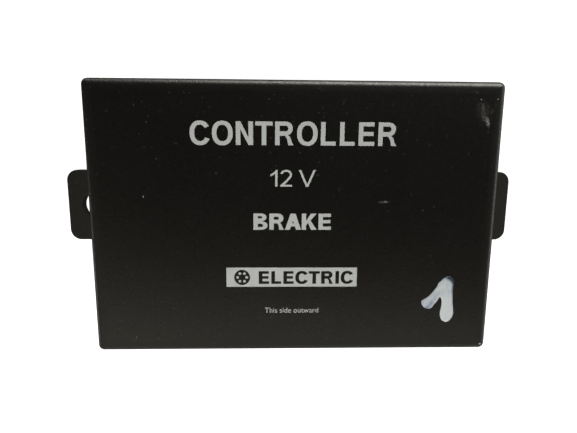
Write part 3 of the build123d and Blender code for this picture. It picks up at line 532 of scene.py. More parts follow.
# ------------------------------------------------------------------ finishes of the CAD pieces
# Scuffs on the front face, in millimetres from its centre:
# x, y, radius x, radius y, turn in degrees, strength, tone, raggedness
FACE_MARKS = (
    (47.6, 28.2, 2.3, 3.4, 12, 0.34, (0.10, 0.096, 0.086), 0.62),
    (47.2, 29.4, 0.55, 1.30, 16, 0.70, (0.17, 0.168, 0.15), 0.52),
    (47.3, 27.3, 0.60, 1.30, 6, 0.60, (0.16, 0.150, 0.130), 0.52),
    (48.7, 25.6, 0.62, 1.45, 10, 1.00, (0.36, 0.355, 0.335), 0.44),
    (48.1, 26.5, 0.80, 0.80, 0, 0.75, (0.22, 0.212, 0.19), 0.52),
    (49.6, 28.4, 0.55, 0.80, -20, 0.30, (0.12, 0.118, 0.108), 0.55),
    (50.2, 30.0, 0.40, 0.60, 10, 0.26, (0.12, 0.118, 0.108), 0.55),
    (45.4, 33.0, 0.50, 0.40, 30, 0.45, (0.15, 0.148, 0.135), 0.52),
    (45.9, 29.9, 0.25, 0.35, 10, 0.35, (0.12, 0.118, 0.108), 0.50),
    (46.58, 31.26, 0.30, 0.22, 0, 0.95, (0.42, 0.42, 0.40), 0.12),
    (50.82, 31.37, 0.26, 0.20, 0, 0.95, (0.42, 0.42, 0.40), 0.12),
    (23.1, 5.2, 1.75, 0.42, 2, 0.55, (0.12, 0.118, 0.105), 0.38),
    (23.5, 5.3, 0.5, 0.25, 0, 0.7, (0.25, 0.245, 0.225), 0.25),
    (-42.35, -31.8, 0.16, 0.55, -28, 0.55, (0.16, 0.158, 0.14), 0.2),
    (-43.2, -32.35, 0.6, 0.16, 12, 0.35, (0.12, 0.118, 0.105), 0.25),
    (-35.0, 16.0, 0.2, 0.2, 0, 0.6, (0.16, 0.158, 0.14), 0.2),
    (-38.7, 6.4, 0.18, 0.35, -15, 0.85, (0.35, 0.345, 0.32), 0.15),
    (-20.1, 12.5, 0.45, 0.2, -30, 0.4, (0.12, 0.118, 0.105), 0.3),
    (11.3, 8.3, 0.14, 0.9, 8, 0.35, (0.12, 0.118, 0.105), 0.25),
    (33.4, 3.1, 0.25, 0.4, 35, 0.45, (0.13, 0.128, 0.115), 0.3),
    (51.44, -34.1, 0.34, 0.30, 20, 1.0, (0.75, 0.75, 0.73), 0.14),
    (50.6, -34.8, 1.4, 0.5, 18, 0.45, (0.10, 0.098, 0.09), 0.45),
)

# arguments of metal() (name, base, dark, rough, scale, scratch, depth), then the pieces
METALS = (
    (("zinc_plated_steel", (0.72, 0.72, 0.69), (0.52, 0.52, 0.49), 0.27, 1100),
     "case_screws board_screws bracket_screws transistor_screws clock_crystal"),
    (("tinned_copper", (0.78, 0.77, 0.74), (0.58, 0.57, 0.54), 0.30, 1800),
     "transistor_tabs microcontroller_leads motion_sensor_leads capacitor_leads axial_leads"
     " trimmer_pins"),
    (("tinned_brass", (0.80, 0.74, 0.58), (0.60, 0.54, 0.40), 0.28, 1500),
     "board_spacers socket_pins service_header_pins fuse_clips relay_pins fuse_element"),
    (("solder", (0.70, 0.70, 0.69), (0.46, 0.46, 0.45), 0.33, 1400, 0.0, 0.00005),
     "solder_joints chip_terminals"),
    (("mill_aluminium", (0.70, 0.70, 0.69), (0.56, 0.56, 0.55), 0.36, 800, 1.0),
     "heat_sink_bracket"),
    (("nickel_iron", (0.52, 0.51, 0.49), (0.40, 0.39, 0.37), 0.30, 1200),
     "relay_yoke relay_core relay_armature"),
    (("phosphor_bronze", (0.76, 0.44, 0.22), (0.55, 0.30, 0.14), 0.27, 1200),
     "relay_contact_spring relay_fixed_contacts"),
    (("shunt_alloy", (0.52, 0.38, 0.26), (0.38, 0.27, 0.18), 0.38, 900, 0.6),
     "current_shunt"),
)

# arguments of plastic() (name, base, light, rough, grain, depth, coat), then the pieces
PLASTICS = (
    (("seal_rubber", (0.012, 0.012, 0.012), (0.022, 0.022, 0.021), 0.78, 1500, 0.00004),
     "case_gasket socket_seal"),
    (("glass_filled_black", (0.014, 0.014, 0.015), (0.024, 0.024, 0.025), 0.50, 2400, 0.00005),
     "socket_shroud service_header fuse_holder"),
    (("moulded_epoxy", (0.018, 0.018, 0.019), (0.030, 0.030, 0.031), 0.62, 5200, 0.00004),
     "output_transistors voltage_regulator microcontroller motion_sensor"),
    (("insulating_pad", (0.34, 0.36, 0.37), (0.44, 0.46, 0.47), 0.70, 2600),
     "transistor_pads"),
    (("natural_nylon", (0.72, 0.70, 0.62), (0.82, 0.80, 0.73), 0.42, 1800),
     "transistor_bushes gain_trimmer_rotor limit_trimmer_rotor"),
    (("trimmer_blue", (0.012, 0.055, 0.25), (0.02, 0.085, 0.34), 0.36, 2200, 0.00002, 0.3),
     "gain_trimmer_body limit_trimmer_body"),
    (("relay_moulding", (0.035, 0.035, 0.038), (0.055, 0.055, 0.058), 0.48, 2600),
     "relay_base relay_bobbin"),
    (("glazed_film", (0.012, 0.012, 0.013), (0.025, 0.025, 0.027), 0.32, 4200),
     "chip_resistors"),
    (("sintered_block", (0.30, 0.20, 0.11), (0.42, 0.29, 0.17), 0.55, 5200, 0.00003),
     "chip_capacitors"),
)

# arguments of clear_plastic() (name, tint, rough, transmission), then the pieces
CLEAR_PLASTICS = (
    (("smoky_clear", (0.80, 0.84, 0.88), 0.025, 0.96), "relay_cover"),
    (("fuse_amber", (0.90, 0.46, 0.06), 0.16, 0.72), "fuse_body"),
    (("led_red", (0.80, 0.03, 0.02), 0.18, 0.55), "status_led"),
)

FINISH = {
    "housing": powder(
        "case_powder_coat", base=(0.0031, 0.0028, 0.0022), light=(0.0042, 0.0038, 0.0031),
        rough=0.28, specular=0.50, spots=FACE_MARKS, walls=WALLS,
    ),
    "base_plate": powder(
        "plate_powder_coat", base=(0.0080, 0.0076, 0.0058), light=(0.0126, 0.0120, 0.0092),
        rough=0.42, specular=0.35, grain=1.25,
    ),
}
for build, table in ((metal, METALS), (plastic, PLASTICS), (clear_plastic, CLEAR_PLASTICS)):
    for arguments, pieces in table:
        FINISH.update(dict.fromkeys(pieces.split(), build(*arguments)))
FINISH.update(dict.fromkeys(("smoothing_capacitors", "filter_capacitors"), can_material()))
FINISH["circuit_board"] = board_material()
FINISH["protection_diode"] = banded_diode()
FINISH["capacitor_sleeves"] = sleeve_material()
FINISH["choke_core"] = ferrite_material()
FINISH["choke_winding"] = copper_material()
FINISH["relay_coil"] = coil_material()
FINISH["axial_resistors"] = banded_resistors()

for name, node in NODES.items():
    node.data.materials.clear()
    node.data.materials.append(FINISH[name])


# ------------------------------------------------------------------ lettering outlines
def oval(mid_x, mid_y, half_x, half_y, start, end, steps, power=2.25):
    """Points on a squared-off ellipse between two angles in degrees."""
    points = []
    for i in range(steps + 1):
        angle = math.radians(start + (end - start) * i / steps)
        c, s = math.cos(angle), math.sin(angle)
        points.append((
            mid_x + half_x * math.copysign(abs(c) ** (2 / power), c),
            mid_y + half_y * math.copysign(abs(s) ** (2 / power), s),
        ))
    return points


# Letters are 1 high. Each function takes the stem and bar thickness and a width factor, and
# gives the width and the outlines, which nest as outer, then holes.
def straight_glyph(char, stem, bar, widen):
    if char == " ":
        return 0.26 * widen, []
    if char == "I":
        return stem, [[(0, 0), (stem, 0), (stem, 1), (0, 1)]]
    if char == "L":
        wide = 0.70 * widen
        return wide, [[(0, 0), (wide, 0), (wide, bar), (stem, bar), (stem, 1), (0, 1)]]
    if char == "T":
        wide = 0.80 * widen
        left, right = wide / 2 - stem / 2, wide / 2 + stem / 2
        return wide, [[
            (left, 0), (right, 0), (right, 1 - bar), (wide, 1 - bar), (wide, 1), (0, 1),
            (0, 1 - bar), (left, 1 - bar),
        ]]
    if char == "N":
        wide = 0.80 * widen
        post = stem * 1.02
        return wide, [[
            (0, 0), (post, 0), (post, 0.67), (wide - post, 0), (wide, 0), (wide, 1),
            (wide - post, 1), (wide - post, 0.33), (post, 1), (0, 1),
        ]]
    if char == "E":
        wide = 0.74 * widen
        low, high = 0.51 - bar / 2, 0.51 + bar / 2
        return wide, [[
            (0, 0), (wide, 0), (wide, bar), (stem, bar), (stem, low), (wide * 0.94, low),
            (wide * 0.94, high), (stem, high), (stem, 1 - bar), (wide * 0.98, 1 - bar),
            (wide * 0.98, 1), (0, 1),
        ]]
    if char == "A":
        wide = 0.94 * widen
        foot = stem * 1.12
        low, high = 0.21, 0.21 + bar * 0.92
        slope = wide / 2 - foot / 2
        apex = min((wide / 2 - foot) / slope, 0.86)
        low_x, high_x = foot + slope * low, foot + slope * high
        return wide, [
            [(0, 0), (foot, 0), (low_x, low), (wide - low_x, low), (wide - foot, 0), (wide, 0),
             (wide / 2 + foot / 2, 1), (wide / 2 - foot / 2, 1)],
            [(high_x, high), (wide - high_x, high), (wide / 2, apex)],
        ]
    if char == "K":
        wide = 0.88 * widen
        foot = stem * 1.28
        return wide, [[
            (0, 0), (stem, 0), (stem, 0.27), (stem + wide * 0.13, 0.42), (wide - foot, 0),
            (wide, 0), (stem + wide * 0.29, 0.585), (wide * 0.985, 1),
            (wide * 0.985 - foot * 1.02, 1), (stem, 0.555), (stem, 1), (0, 1),
        ]]
    if char == "V":
        wide = 0.92 * widen
        arm = stem * 1.08
        return wide, [[
            (0, 1), (arm, 1), (wide / 2, bar * 1.3), (wide - arm, 1), (wide, 1),
            (wide / 2 + arm * 0.52, 0), (wide / 2 - arm * 0.52, 0),
        ]]
    if char == "1":
        x = 0.27 * widen
        return x + stem, [[
            (x, 0), (x + stem, 0), (x + stem, 1), (x + stem * 0.35, 1), (x - 0.03, 0.90),
            (x - 0.13, 0.81), (0.0, 0.735), (0.0, 0.615), (x * 0.55, 0.68), (x, 0.765),
        ]]
    raise ValueError(char)


def round_glyph(char, stem, bar, widen):
    if char == "O":
        wide = 0.96 * widen
        outer = oval(wide / 2, 0.5, wide / 2, 0.517, 0, 360, 64)
        inner = oval(wide / 2, 0.5, wide / 2 - stem, 0.517 - bar, 0, 360, 64)
        return wide, [outer[:-1], inner[:-1]]
    if char == "C":
        wide = 0.91 * widen
        reach = wide * 0.52
        outer = oval(reach, 0.5, reach, 0.517, 30, 334, 56)
        inner = oval(reach, 0.5, reach - stem, 0.517 - bar, 34, 330, 56)
        return wide, [outer + inner[::-1]]
    if char == "R":
        wide = 0.87 * widen
        bowl_x, waist = wide * 0.56, 0.42
        bowl_y, half = (1 + waist) / 2, (1 - waist) / 2
        reach = wide * 0.94 - bowl_x
        bowl = oval(bowl_x, bowl_y, reach, half, 90, -72, 24, 2.1)
        hole = oval(bowl_x, bowl_y, reach - stem, half - bar, 90, -90, 20, 2.1)
        leg = [
            (wide * 0.80, 0.36), (wide * 0.90, 0.12), (wide * 1.0, 0.0),
            (wide * 1.0 - stem * 1.16, 0.0), (wide * 0.66 - stem * 0.08, 0.26),
            (wide * 0.53, waist - 0.02), (stem, waist - 0.02),
        ]
        return wide, [
            [(0, 0), (0, 1)] + bowl + leg + [(stem, 0)],
            [(stem, 1 - bar)] + hole + [(stem, waist + bar)],
        ]
    if char == "B":
        wide = 0.82 * widen
        waist = 0.53
        top_x, low_x = wide * 0.50, wide * 0.52
        top_y, low_y = (1 + waist) / 2, waist / 2
        top_half = (1 - waist) / 2
        top_reach = wide * 0.93 - top_x
        inset = bar * 0.80
        top = oval(top_x, top_y, top_reach, top_half, 90, -78, 20, 2.15)
        low = oval(low_x, low_y, wide - low_x, low_y, 74, -90, 22, 2.15)
        holes = (
            oval(top_x, top_y + bar * 0.02, top_reach - stem * 0.95, top_half - inset,
                 90, -90, 16, 2.15),
            oval(low_x, low_y, wide - low_x - stem, low_y - inset, 90, -90, 16, 2.15),
        )
        return wide, [[(0, 0), (0, 1)] + top + low] + [
            [(stem, hole[0][1])] + hole + [(stem, hole[-1][1])] for hole in holes
        ]
    if char == "2":
        return numeral_two(stem, bar, widen)
    raise ValueError(char)


def numeral_two(stem, bar, widen):
    """A centre line, round at the top and then curving to the foot, thickened to the stem."""
    wide = 0.64 * widen
    path = oval(wide * 0.50, 0.715, wide * 0.50 - stem * 0.5 - 0.005, 0.285 - stem * 0.42,
                172, -28, 26, 2.05)
    start_x, start_y = path[-1]
    via_x, via_y = wide * 0.80, 0.42
    end_x, end_y = stem * 0.62, bar * 0.62
    for i in range(1, 11):
        t = i / 10
        path.append((
            (1 - t) ** 2 * start_x + 2 * t * (1 - t) * via_x * 0.86 + t * t * end_x,
            (1 - t) ** 2 * start_y + 2 * t * (1 - t) * via_y * 0.98 + t * t * end_y,
        ))
    left, right = [], []
    for i, (x, y) in enumerate(path):
        before, after = path[max(0, i - 1)], path[min(len(path) - 1, i + 1)]
        run, rise = after[0] - before[0], after[1] - before[1]
        length = math.hypot(run, rise) or 1
        side_x, side_y = -rise / length * stem / 2, run / length * stem / 2
        left.append((x + side_x, y + side_y))
        right.append((x - side_x, y - side_y))
    left = [q for q in left if q[1] > bar or q[0] > wide * 0.6]
    right = [q for q in right if q[1] > bar * 0.55 or q[0] > wide * 0.5]
    foot = [(left[-1][0] - 0.01, bar), (wide, bar), (wide, 0), (0, 0), (0, bar * 0.55)]
    return wide, [left + foot + right[::-1]]


# space on each side of a letter; 0.085 for the rest
BEARING = {
    "C": 0.055, "O": 0.055, "A": 0.012, "T": 0.02, "V": 0.012, "R": 0.095, "K": 0.09,
    "L": 0.095, " ": 0.0, "2": 0.05, "1": 0.08,
}


def word(text, height, width, stem, bar, widen=1.0, track=0.0):
    """Outlines of a word of the given height and overall width, centred on (0, 0)."""
    x, loops = 0.0, []
    for i, char in enumerate(text):
        glyph = round_glyph if char in "OCRB2" else straight_glyph
        wide, outlines = glyph(char, stem, bar, widen)
        side = BEARING.get(char, 0.085) + track
        x += 0 if i == 0 else side
        loops += [[(px + x, py) for px, py in loop] for loop in outlines]
        x += wide + (side if i < len(text) - 1 else 0)
    stretch = width / (x * height)
    return [
        [((px - x / 2) * height * stretch, (py - 0.5) * height) for px, py in loop]
        for loop in loops
    ]


# ------------------------------------------------------------------ building pieces
def piece(name, mesh, material, body, smooth=False):
    """An object of one material that rides on a body of the frame."""
    mesh.name = name
    mesh.materials.clear()
    mesh.materials.append(material)
    for polygon in mesh.polygons:
        polygon.use_smooth = smooth
        polygon.material_index = 0
    item = bpy.data.objects.new(name, mesh)
    bpy.context.scene.collection.objects.link(item)
    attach(item, body)


def curve_mesh(curve):
    """The mesh of a curve, made through a passing object."""
    item = bpy.data.objects.new(curve.name, curve)
    bpy.context.scene.collection.objects.link(item)
    bpy.context.view_layer.update()
    evaluated = item.evaluated_get(bpy.context.evaluated_depsgraph_get())
    mesh = bpy.data.meshes.new_from_object(evaluated)
    bpy.data.objects.remove(item)
    return mesh


def plain_text(text, size, width=None, weight=0.0):
    """A flat mesh of built-in lettering, centred; size, width and weight in millimetres."""
    curve = bpy.data.curves.new("line", "FONT")
    curve.body = text
    curve.size = size * MM
    curve.offset = weight * MM
    curve.extrude = 0.00001
    curve.resolution_u = 6
    mesh = curve_mesh(curve)
    points = np.array([v.co[:] for v in mesh.vertices])
    low, high = points.min(0), points.max(0)
    stretch = width * MM / (high[0] - low[0]) if width else 1.0
    mid_x, mid_y = middle(low, high)
    centred = Matrix.Translation((-mid_x, -mid_y, 0))
    mesh.transform(Matrix.Diagonal((stretch, 1, 1, 1)) @ centred)
    return mesh


# ------------------------------------------------------------------ printing on the front face
INK = ink_material("screen_ink", tone=(0.56, 0.575, 0.555), worn=(0.12, 0.12, 0.115))
PRINT_Z = FACE_Z + 0.000006
INK_THICKNESS = 0.000018


def on_face(name, loops, x, y):
    """A thin closed plate of ink from nested outlines in millimetres."""
    curve = bpy.data.curves.new(name + "_outline", "CURVE")
    curve.dimensions = "2D"
    curve.fill_mode = "BOTH"
    curve.extrude = INK_THICKNESS / 2
    for loop in loops:
        spline = curve.splines.new("POLY")
        spline.points.add(len(loop) - 1)
        for i, (px, py) in enumerate(loop):
            spline.points[i].co = (px * MM, py * MM, 0, 1)
        spline.use_cyclic_u = True
    mesh = curve_mesh(curve)
    place = (FACE_X + x * MM, FACE_Y + y * MM, PRINT_Z + INK_THICKNESS / 2)
    mesh.transform(Matrix.Translation(place))
    piece(name, mesh, INK, "housing_shell")


def circle(mid_x, mid_y, radius, count):
    angles = [i * math.pi / (count / 2) for i in range(count)]
    return [(mid_x + radius * math.cos(a), mid_y + radius * math.sin(a)) for a in angles]


def print_bar():
    """A solid bar with a wheel and a word left open in it."""
    half_x, half_y = 34.64 / 2, 5.25 / 2
    wheel = (-half_x + 4.15, -0.05)
    loops = [[(-half_x, -half_y), (half_x, -half_y), (half_x, half_y), (-half_x, half_y)]]
    # the wheel: an open disc with six solid dots round a hub
    loops.append(circle(*wheel, radius=2.1, count=48))
    for dot in circle(*wheel, radius=1.2, count=6):
        loops.append(circle(*dot, radius=0.36, count=16))
    letters = word("ELECTRIC", height=3.50, width=25.15, stem=0.262, bar=0.205, track=-0.01)
    loops += [[(x + 3.8, y - 0.1) for x, y in loop] for loop in letters]
    on_face("print_bar", loops, -0.65, -14.93)


# name, arguments of word() (text, height, width, stem, bar, width factor, track), x, y
for name, arguments, x, y in (
    ("print_title", ("CONTROLLER", 5.84, 52.1, 0.212, 0.172), -0.43, 22.49),
    ("print_rating", ("12 V", 4.26, 11.6, 0.120, 0.110, 1.0, 0.01), -0.57, 11.26),
    ("print_heavy_line", ("BRAKE", 4.28, 20.2, 0.30, 0.205, 1.16, -0.03), -0.65, 0.01),
):
    on_face(name, word(*arguments), x, y)
print_bar()
small_line = plain_text("This side outward", size=2.04, width=14.37, weight=0.002)
small_place = (FACE_X - 0.66 * MM, FACE_Y - 24.14 * MM, PRINT_Z + 0.00001)
small_line.transform(Matrix.Translation(small_place))
piece("print_small_line", small_line, INK, "housing_shell")


# ------------------------------------------------------------------ hand-painted numeral
# control points x, y of the edge of a brushed "1", in millimetres from the face's centre
ONE = [
    (34.50, -22.08), (34.67, -21.62), (35.15, -21.37), (36.36, -20.52), (37.46, -19.31),
    (38.64, -17.68), (38.89, -16.86), (39.73, -15.97), (40.66, -15.21), (41.62, -14.88),
    (42.57, -15.24), (43.10, -16.20), (43.20, -18.00), (43.16, -20.57), (43.25, -22.28),
    (43.52, -24.16), (43.61, -25.57), (43.25, -26.72), (42.75, -27.44), (41.84, -27.99),
    (40.82, -27.61), (40.15, -26.74), (39.86, -25.15), (40.13, -23.44), (40.18, -22.01),
    (39.92, -21.01), (39.68, -20.76), (39.37, -21.04), (38.78, -22.00), (38.04, -22.94),
    (37.51, -23.80), (36.40, -24.11), (35.45, -23.73), (34.80, -23.04),
]
GRID_STEP = 0.21  # spacing of the points inside the edge
GRID_JITTER = 0.05


def smooth_loop(points, steps=6):
    """A closed Catmull-Rom curve through the points."""
    out, count = [], len(points)
    for i in range(count):
        p0, p1, p2, p3 = (Vector(points[(i + k) % count]) for k in (-1, 0, 1, 2))
        square = 2 * p0 - 5 * p1 + 4 * p2 - p3
        cube = 3 * p1 - p0 - 3 * p2 + p3
        for j in range(steps):
            t = j / steps
            out.append(0.5 * ((2 * p1) + (p2 - p0) * t + square * t * t + cube * t * t * t))
    return [(v.x, v.y) for v in out]


def unit_clamp(value):
    return max(0.0, min(1.0, value))


def paint_cover(x, y, depth):
    """How much paint lies at a point whose distance from the edge is depth."""
    # the right side of the top and the flag were laid thinner
    thin = unit_clamp((x - 40.6 + 1.1 * (y + 15.6)) / 1.5) * unit_clamp((y + 17.2) / 0.9)
    upper = unit_clamp((y + 21.5) / 2.5)
    side = unit_clamp((x - 42.25) / 0.55) * upper
    flag = unit_clamp((39.7 - x + 0.3 * (y + 20)) / 1.6)
    groove = flag * math.exp(-((x - 37.9 - 0.85 * (y + 21.4)) / 0.75) ** 2)
    top = upper * (1 - flag)
    amount = 0.99 - 0.80 * thin - 0.60 * side - 0.16 * flag - 0.30 * groove - 0.13 * top
    return max(0.02, amount - 0.22 * math.exp(-depth / 0.16))


def paint_numeral():
    """A low domed film, its cover stored per vertex for the paint material."""
    edge = smooth_loop([((x - 39.05) * 0.98 + 38.88, (y + 21.4) * 0.985 - 21.24) for x, y in ONE])
    starts = np.array(edge)
    ends = np.roll(starts, -1, 0)

    def distance(q):
        run = ends - starts
        t = np.clip(((q - starts) * run).sum(1) / (run * run).sum(1), 0, 1)
        return np.hypot(*(q - starts - run * t[:, None]).T).min()

    def inside(q):
        x, y = q
        crosses = (starts[:, 1] > y) != (ends[:, 1] > y)
        run, rise = (ends - starts).T
        cross_x = run * (y - starts[:, 1]) / (rise + 1e-12) + starts[:, 0]
        return int((crosses & (x < cross_x)).sum()) % 2 == 1

    rng = random.Random(5)
    inner = []
    low, high = starts.min(0), starts.max(0)
    y = low[1]
    while y < high[1]:
        x = low[0]
        while x < high[0]:
            jitter_x = rng.uniform(-GRID_JITTER, GRID_JITTER)
            jitter_y = rng.uniform(-GRID_JITTER, GRID_JITTER)
            q = np.array((x + jitter_x, y + jitter_y))
            if inside(q) and distance(q) > 0.12:
                inner.append((q[0], q[1]))
            x += GRID_STEP
        y += GRID_STEP
    points, _, faces, *_ = delaunay_2d_cdt(
        [Vector(p) for p in edge + inner], [], [list(range(len(edge)))], 1, 1e-6
    )

    verts, cover = [], []
    for point in points:
        depth = distance(np.array((point.x, point.y)))
        amount = paint_cover(point.x, point.y, depth)
        dome = 1 - math.exp(-depth / 0.45)
        height = 0.008 + 0.075 * dome * (0.55 + 0.45 * amount)
        cover.append(amount)
        verts.append((point.x * MM, point.y * MM, height * MM))

    # close the film: walls down from the rim and one face below
    surface = [tuple(face) for face in faces]
    sides = dict.fromkeys(pair for face in surface for pair in zip(face, face[1:] + face[:1]))
    rim = [(a, b) for a, b in sides if (b, a) not in sides]
    foot = {}
    for a, _ in rim:
        foot[a] = len(verts)
        verts.append((verts[a][0], verts[a][1], 0.0))
        cover.append(cover[a])
    walls = [(b, a, foot[a], foot[b]) for a, b in rim]
    follow = dict(rim)
    loop = [rim[0][0]]
    while follow[loop[-1]] != loop[0] and len(loop) <= len(rim):
        loop.append(follow[loop[-1]])
    bottom = [tuple(foot[a] for a in loop[::-1])]

    mesh = bpy.data.meshes.new("painted_numeral")
    mesh.from_pydata(verts, [], surface + walls + bottom)
    mesh.validate()
    attribute = mesh.attributes.new("cover", "FLOAT", "POINT")
    attribute.data.foreach_set("value", cover[: len(mesh.vertices)])
    mesh.transform(Matrix.Translation((FACE_X, FACE_Y, FACE_Z + 0.000004)))
    piece("painted_numeral", mesh, marker_material(), "housing_shell", smooth=True)


paint_numeral()


# ------------------------------------------------------------------ circuit board detail
SUNK = BOARD_TOP - 0.00001  # the underside of all films on the board
PAD_TOP = BOARD_TOP + 0.000028
TRACK_TOP = BOARD_TOP + 0.00002
SILK_TOP = BOARD_TOP + 0.00003


def islands(node):
    """Lowest and highest corner of each connected piece of a CAD node."""
    mesh = NODES[node].data
    parent = list(range(len(mesh.vertices)))

    def find(a):
        while parent[a] != a:
            parent[a] = parent[parent[a]]
            a = parent[a]
        return a

    for edge in mesh.edges:
        parent[find(edge.vertices[0])] = find(edge.vertices[1])
    # faces that touch but share no vertices are joined through equal positions
    seen = {}
    for vertex in mesh.vertices:
        key = tuple(round(c, 7) for c in vertex.co)
        parent[find(seen.setdefault(key, vertex.index))] = find(vertex.index)
    groups = {}
    for vertex in mesh.vertices:
        groups.setdefault(find(vertex.index), []).append(vertex.co[:])
    corners = [np.array(group) for group in groups.values()]
    return [(group.min(0), group.max(0)) for group in corners]


def combine(name, parts, material):
    """One object on the base from many (vertices, faces) parts."""
    verts, faces = [], []
    for part_verts, part_faces in parts:
        start = len(verts)
        verts += part_verts
        faces += [tuple(i + start for i in face) for face in part_faces]
    mesh = bpy.data.meshes.new(name)
    mesh.from_pydata(verts, [], faces)
    mesh.validate()
    piece(name, mesh, material, "base")


def annulus(centre, inner, outer, top, count):
    """A flat ring from SUNK to top, in metres."""
    verts, faces = [], []
    turns = [2 * math.pi * i / count for i in range(count)]
    for z in (SUNK, top):
        for radius in (inner, outer):
            verts += [
                (centre[0] + radius * math.cos(a), centre[1] + radius * math.sin(a), z)
                for a in turns
            ]
    # the four circles of vertices start at these numbers
    low_in, low_out, top_in, top_out = 0, count, 2 * count, 3 * count
    for i in range(count):
        j = (i + 1) % count
        faces += [
            (top_in + i, top_out + i, top_out + j, top_in + j),
            (low_in + i, low_in + j, low_out + j, low_out + i),
            (low_out + i, low_out + j, top_out + j, top_out + i),
            (low_in + j, low_in + i, top_in + i, top_in + j),
        ]
    return verts, faces


def unit(vector):
    return vector / (np.hypot(*vector) or 1)


def strip(path, width, top):
    """A flat strip with square ends from SUNK to top, along a path; path and width in mm."""
    points = [np.array((x * MM, y * MM)) for x, y in path]
    width = width * MM
    count = len(points)
    left, right = [], []
    for i, point in enumerate(points):
        ahead = unit(points[i + 1] - point) if i < count - 1 else None
        behind = unit(point - points[i - 1]) if i else ahead
        ahead = behind if ahead is None else ahead
        along = unit(behind + ahead)
        across = np.array((-along[1], along[0]))
        reach = width / 2 / max(0.5, float(np.dot(along, behind)))
        left.append(point + across * reach)
        right.append(point - across * reach)
    verts = [(q[0], q[1], z) for z in (SUNK, top) for q in left + right]
    faces = []
    lift = 2 * count  # from a lower vertex to the one above it
    for i in range(count - 1):
        l0, l1, r0, r1 = i, i + 1, count + i, count + i + 1
        faces += [
            (lift + r0, lift + r1, lift + l1, lift + l0),
            (l0, l1, r1, r0),
            (l1, l0, lift + l0, lift + l1),
            (r0, r1, lift + r1, lift + r0),
        ]
    faces += [
        (0, count, 3 * count, 2 * count),
        (2 * count - 1, count - 1, 3 * count - 1, 4 * count - 1),
    ]
    return verts, faces


def board_pads():
    """Rings round the round solder joints and the board screws."""
    pads = []
    for low, high in islands("solder_joints"):
        size_x, size_y = high[0] - low[0], high[1] - low[1]
        if abs(size_x - size_y) > 0.0002:
            continue
        hole = size_x / 2 - 0.00045
        pads.append(annulus(middle(low, high), max(hole, 0.0003), hole + 0.00042, PAD_TOP, 24))
    for low, high in islands("board_screws"):
        pads.append(annulus(middle(low, high), 0.0029, 0.0036, PAD_TOP, 40))
    combine("board_pads", pads, FINISH["solder_joints"])


board_pads()
TRACK_MASK = plastic(
    "mask_over_copper", base=(0.010, 0.135, 0.060), light=(0.014, 0.165, 0.078),
    rough=0.30, grain=1400, coat=0.5,
)
SILK = plastic(
    "board_silkscreen", base=(0.62, 0.63, 0.60), light=(0.72, 0.73, 0.70), rough=0.60, grain=3200
)


def middle_mm(node):
    low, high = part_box(node)
    return (low.x + high.x) / 2 / MM, (low.y + high.y) / 2 / MM


CHIP_X, CHIP_Y = middle_mm("microcontroller")
CHIP_PITCH = 0.8
CHIP_REACH = 6.1  # from the chip's centre to where its tracks start
CHIP_TRACK = 0.24
SENSOR_X, SENSOR_Y = middle_mm("motion_sensor")
SENSOR_PITCH = 1.27
SENSOR_REACH = 5.1
SENSOR_TRACK = 0.28

# heavy supply tracks first, then light ones: points, width
SUPPLY_TRACKS = (
    ([(-12.5, -18.5), (-18.0, -24.0), (-22.0, -24.0), (-25.9, -21.5)], 2.2),
    ([(-34.1, -20.5), (-42.5, -14.0), (-42.5, 12.0), (-39.5, 15.5)], 2.4),
    ([(-7.5, -15.5), (-7.5, -13.2), (-3.2, -9.0)], 1.4),
    ([(12.5, -18.5), (18.5, -24.5), (43.5, -24.5), (44.5, -20.0), (44.5, -12.0)], 1.6),
    ([(-34.5, 8.5), (-28.5, 14.5), (-28.5, 22.0), (-25.5, 26.0)], 2.0),
    ([(8.0, 26.5), (12.0, 25.2), (17.8, 23.6)], 1.8),
    ([(34.2, 23.0), (43.5, 20.5), (43.5, 16.0)], 1.8),
    ([(-34.5, -5.5), (-30.0, -9.5), (-27.5, -14.0)], 1.6),
    ([(2.5, -15.5), (2.5, -13.6)], 0.6),
    ([(7.5, -15.5), (7.5, -13.6)], 0.6),
    ([(22.5, -20.0), (26.5, -21.5)], 0.4),
    ([(22.4, -11.0), (25.8, -10.0)], 0.4),
    ([(35.0, -5.5), (39.8, -3.5)], 0.4),
    ([(35.0, -8.5), (39.8, -6.4)], 0.4),
    ([(20.0, 16.0), (22.5, 18.5), (28.0, 18.5), (29.5, 17.4)], 0.6),
)


def chip_tracks():
    """Paths that fan out from the microcontroller's -Y, +X, -X and +Y sides."""
    paths = []
    start = CHIP_Y - CHIP_REACH
    for k in range(9):
        x = CHIP_X + (k - 5) * CHIP_PITCH
        rest = 8 - k
        turn_y = start - 1.0 - 0.35 * rest
        end = (x - 3.2 - rest * 0.9, start - 4.2 - 0.35 * rest - rest * 0.9)
        paths.append([(x, start), (x, turn_y), end])
    for k in range(10):
        y = CHIP_Y + (k - 5) * CHIP_PITCH
        paths.append([(CHIP_X + CHIP_REACH, y), (CHIP_X + 7.0 + 0.28 * abs(k - 5), y)])
    for k in range(9):
        y = CHIP_Y + (k - 4) * CHIP_PITCH
        turn_x, end_x = CHIP_X - 7.2 - 0.45 * k, CHIP_X - 8.6 - 0.45 * k
        paths.append([(CHIP_X - CHIP_REACH, y), (turn_x, y), (end_x, y + 1.4)])
    for k in range(8):
        x = CHIP_X - 2.8 + k * CHIP_PITCH
        paths.append([(x, CHIP_Y + CHIP_REACH), (x, CHIP_Y + 7.0 + 0.25 * k)])
    return paths


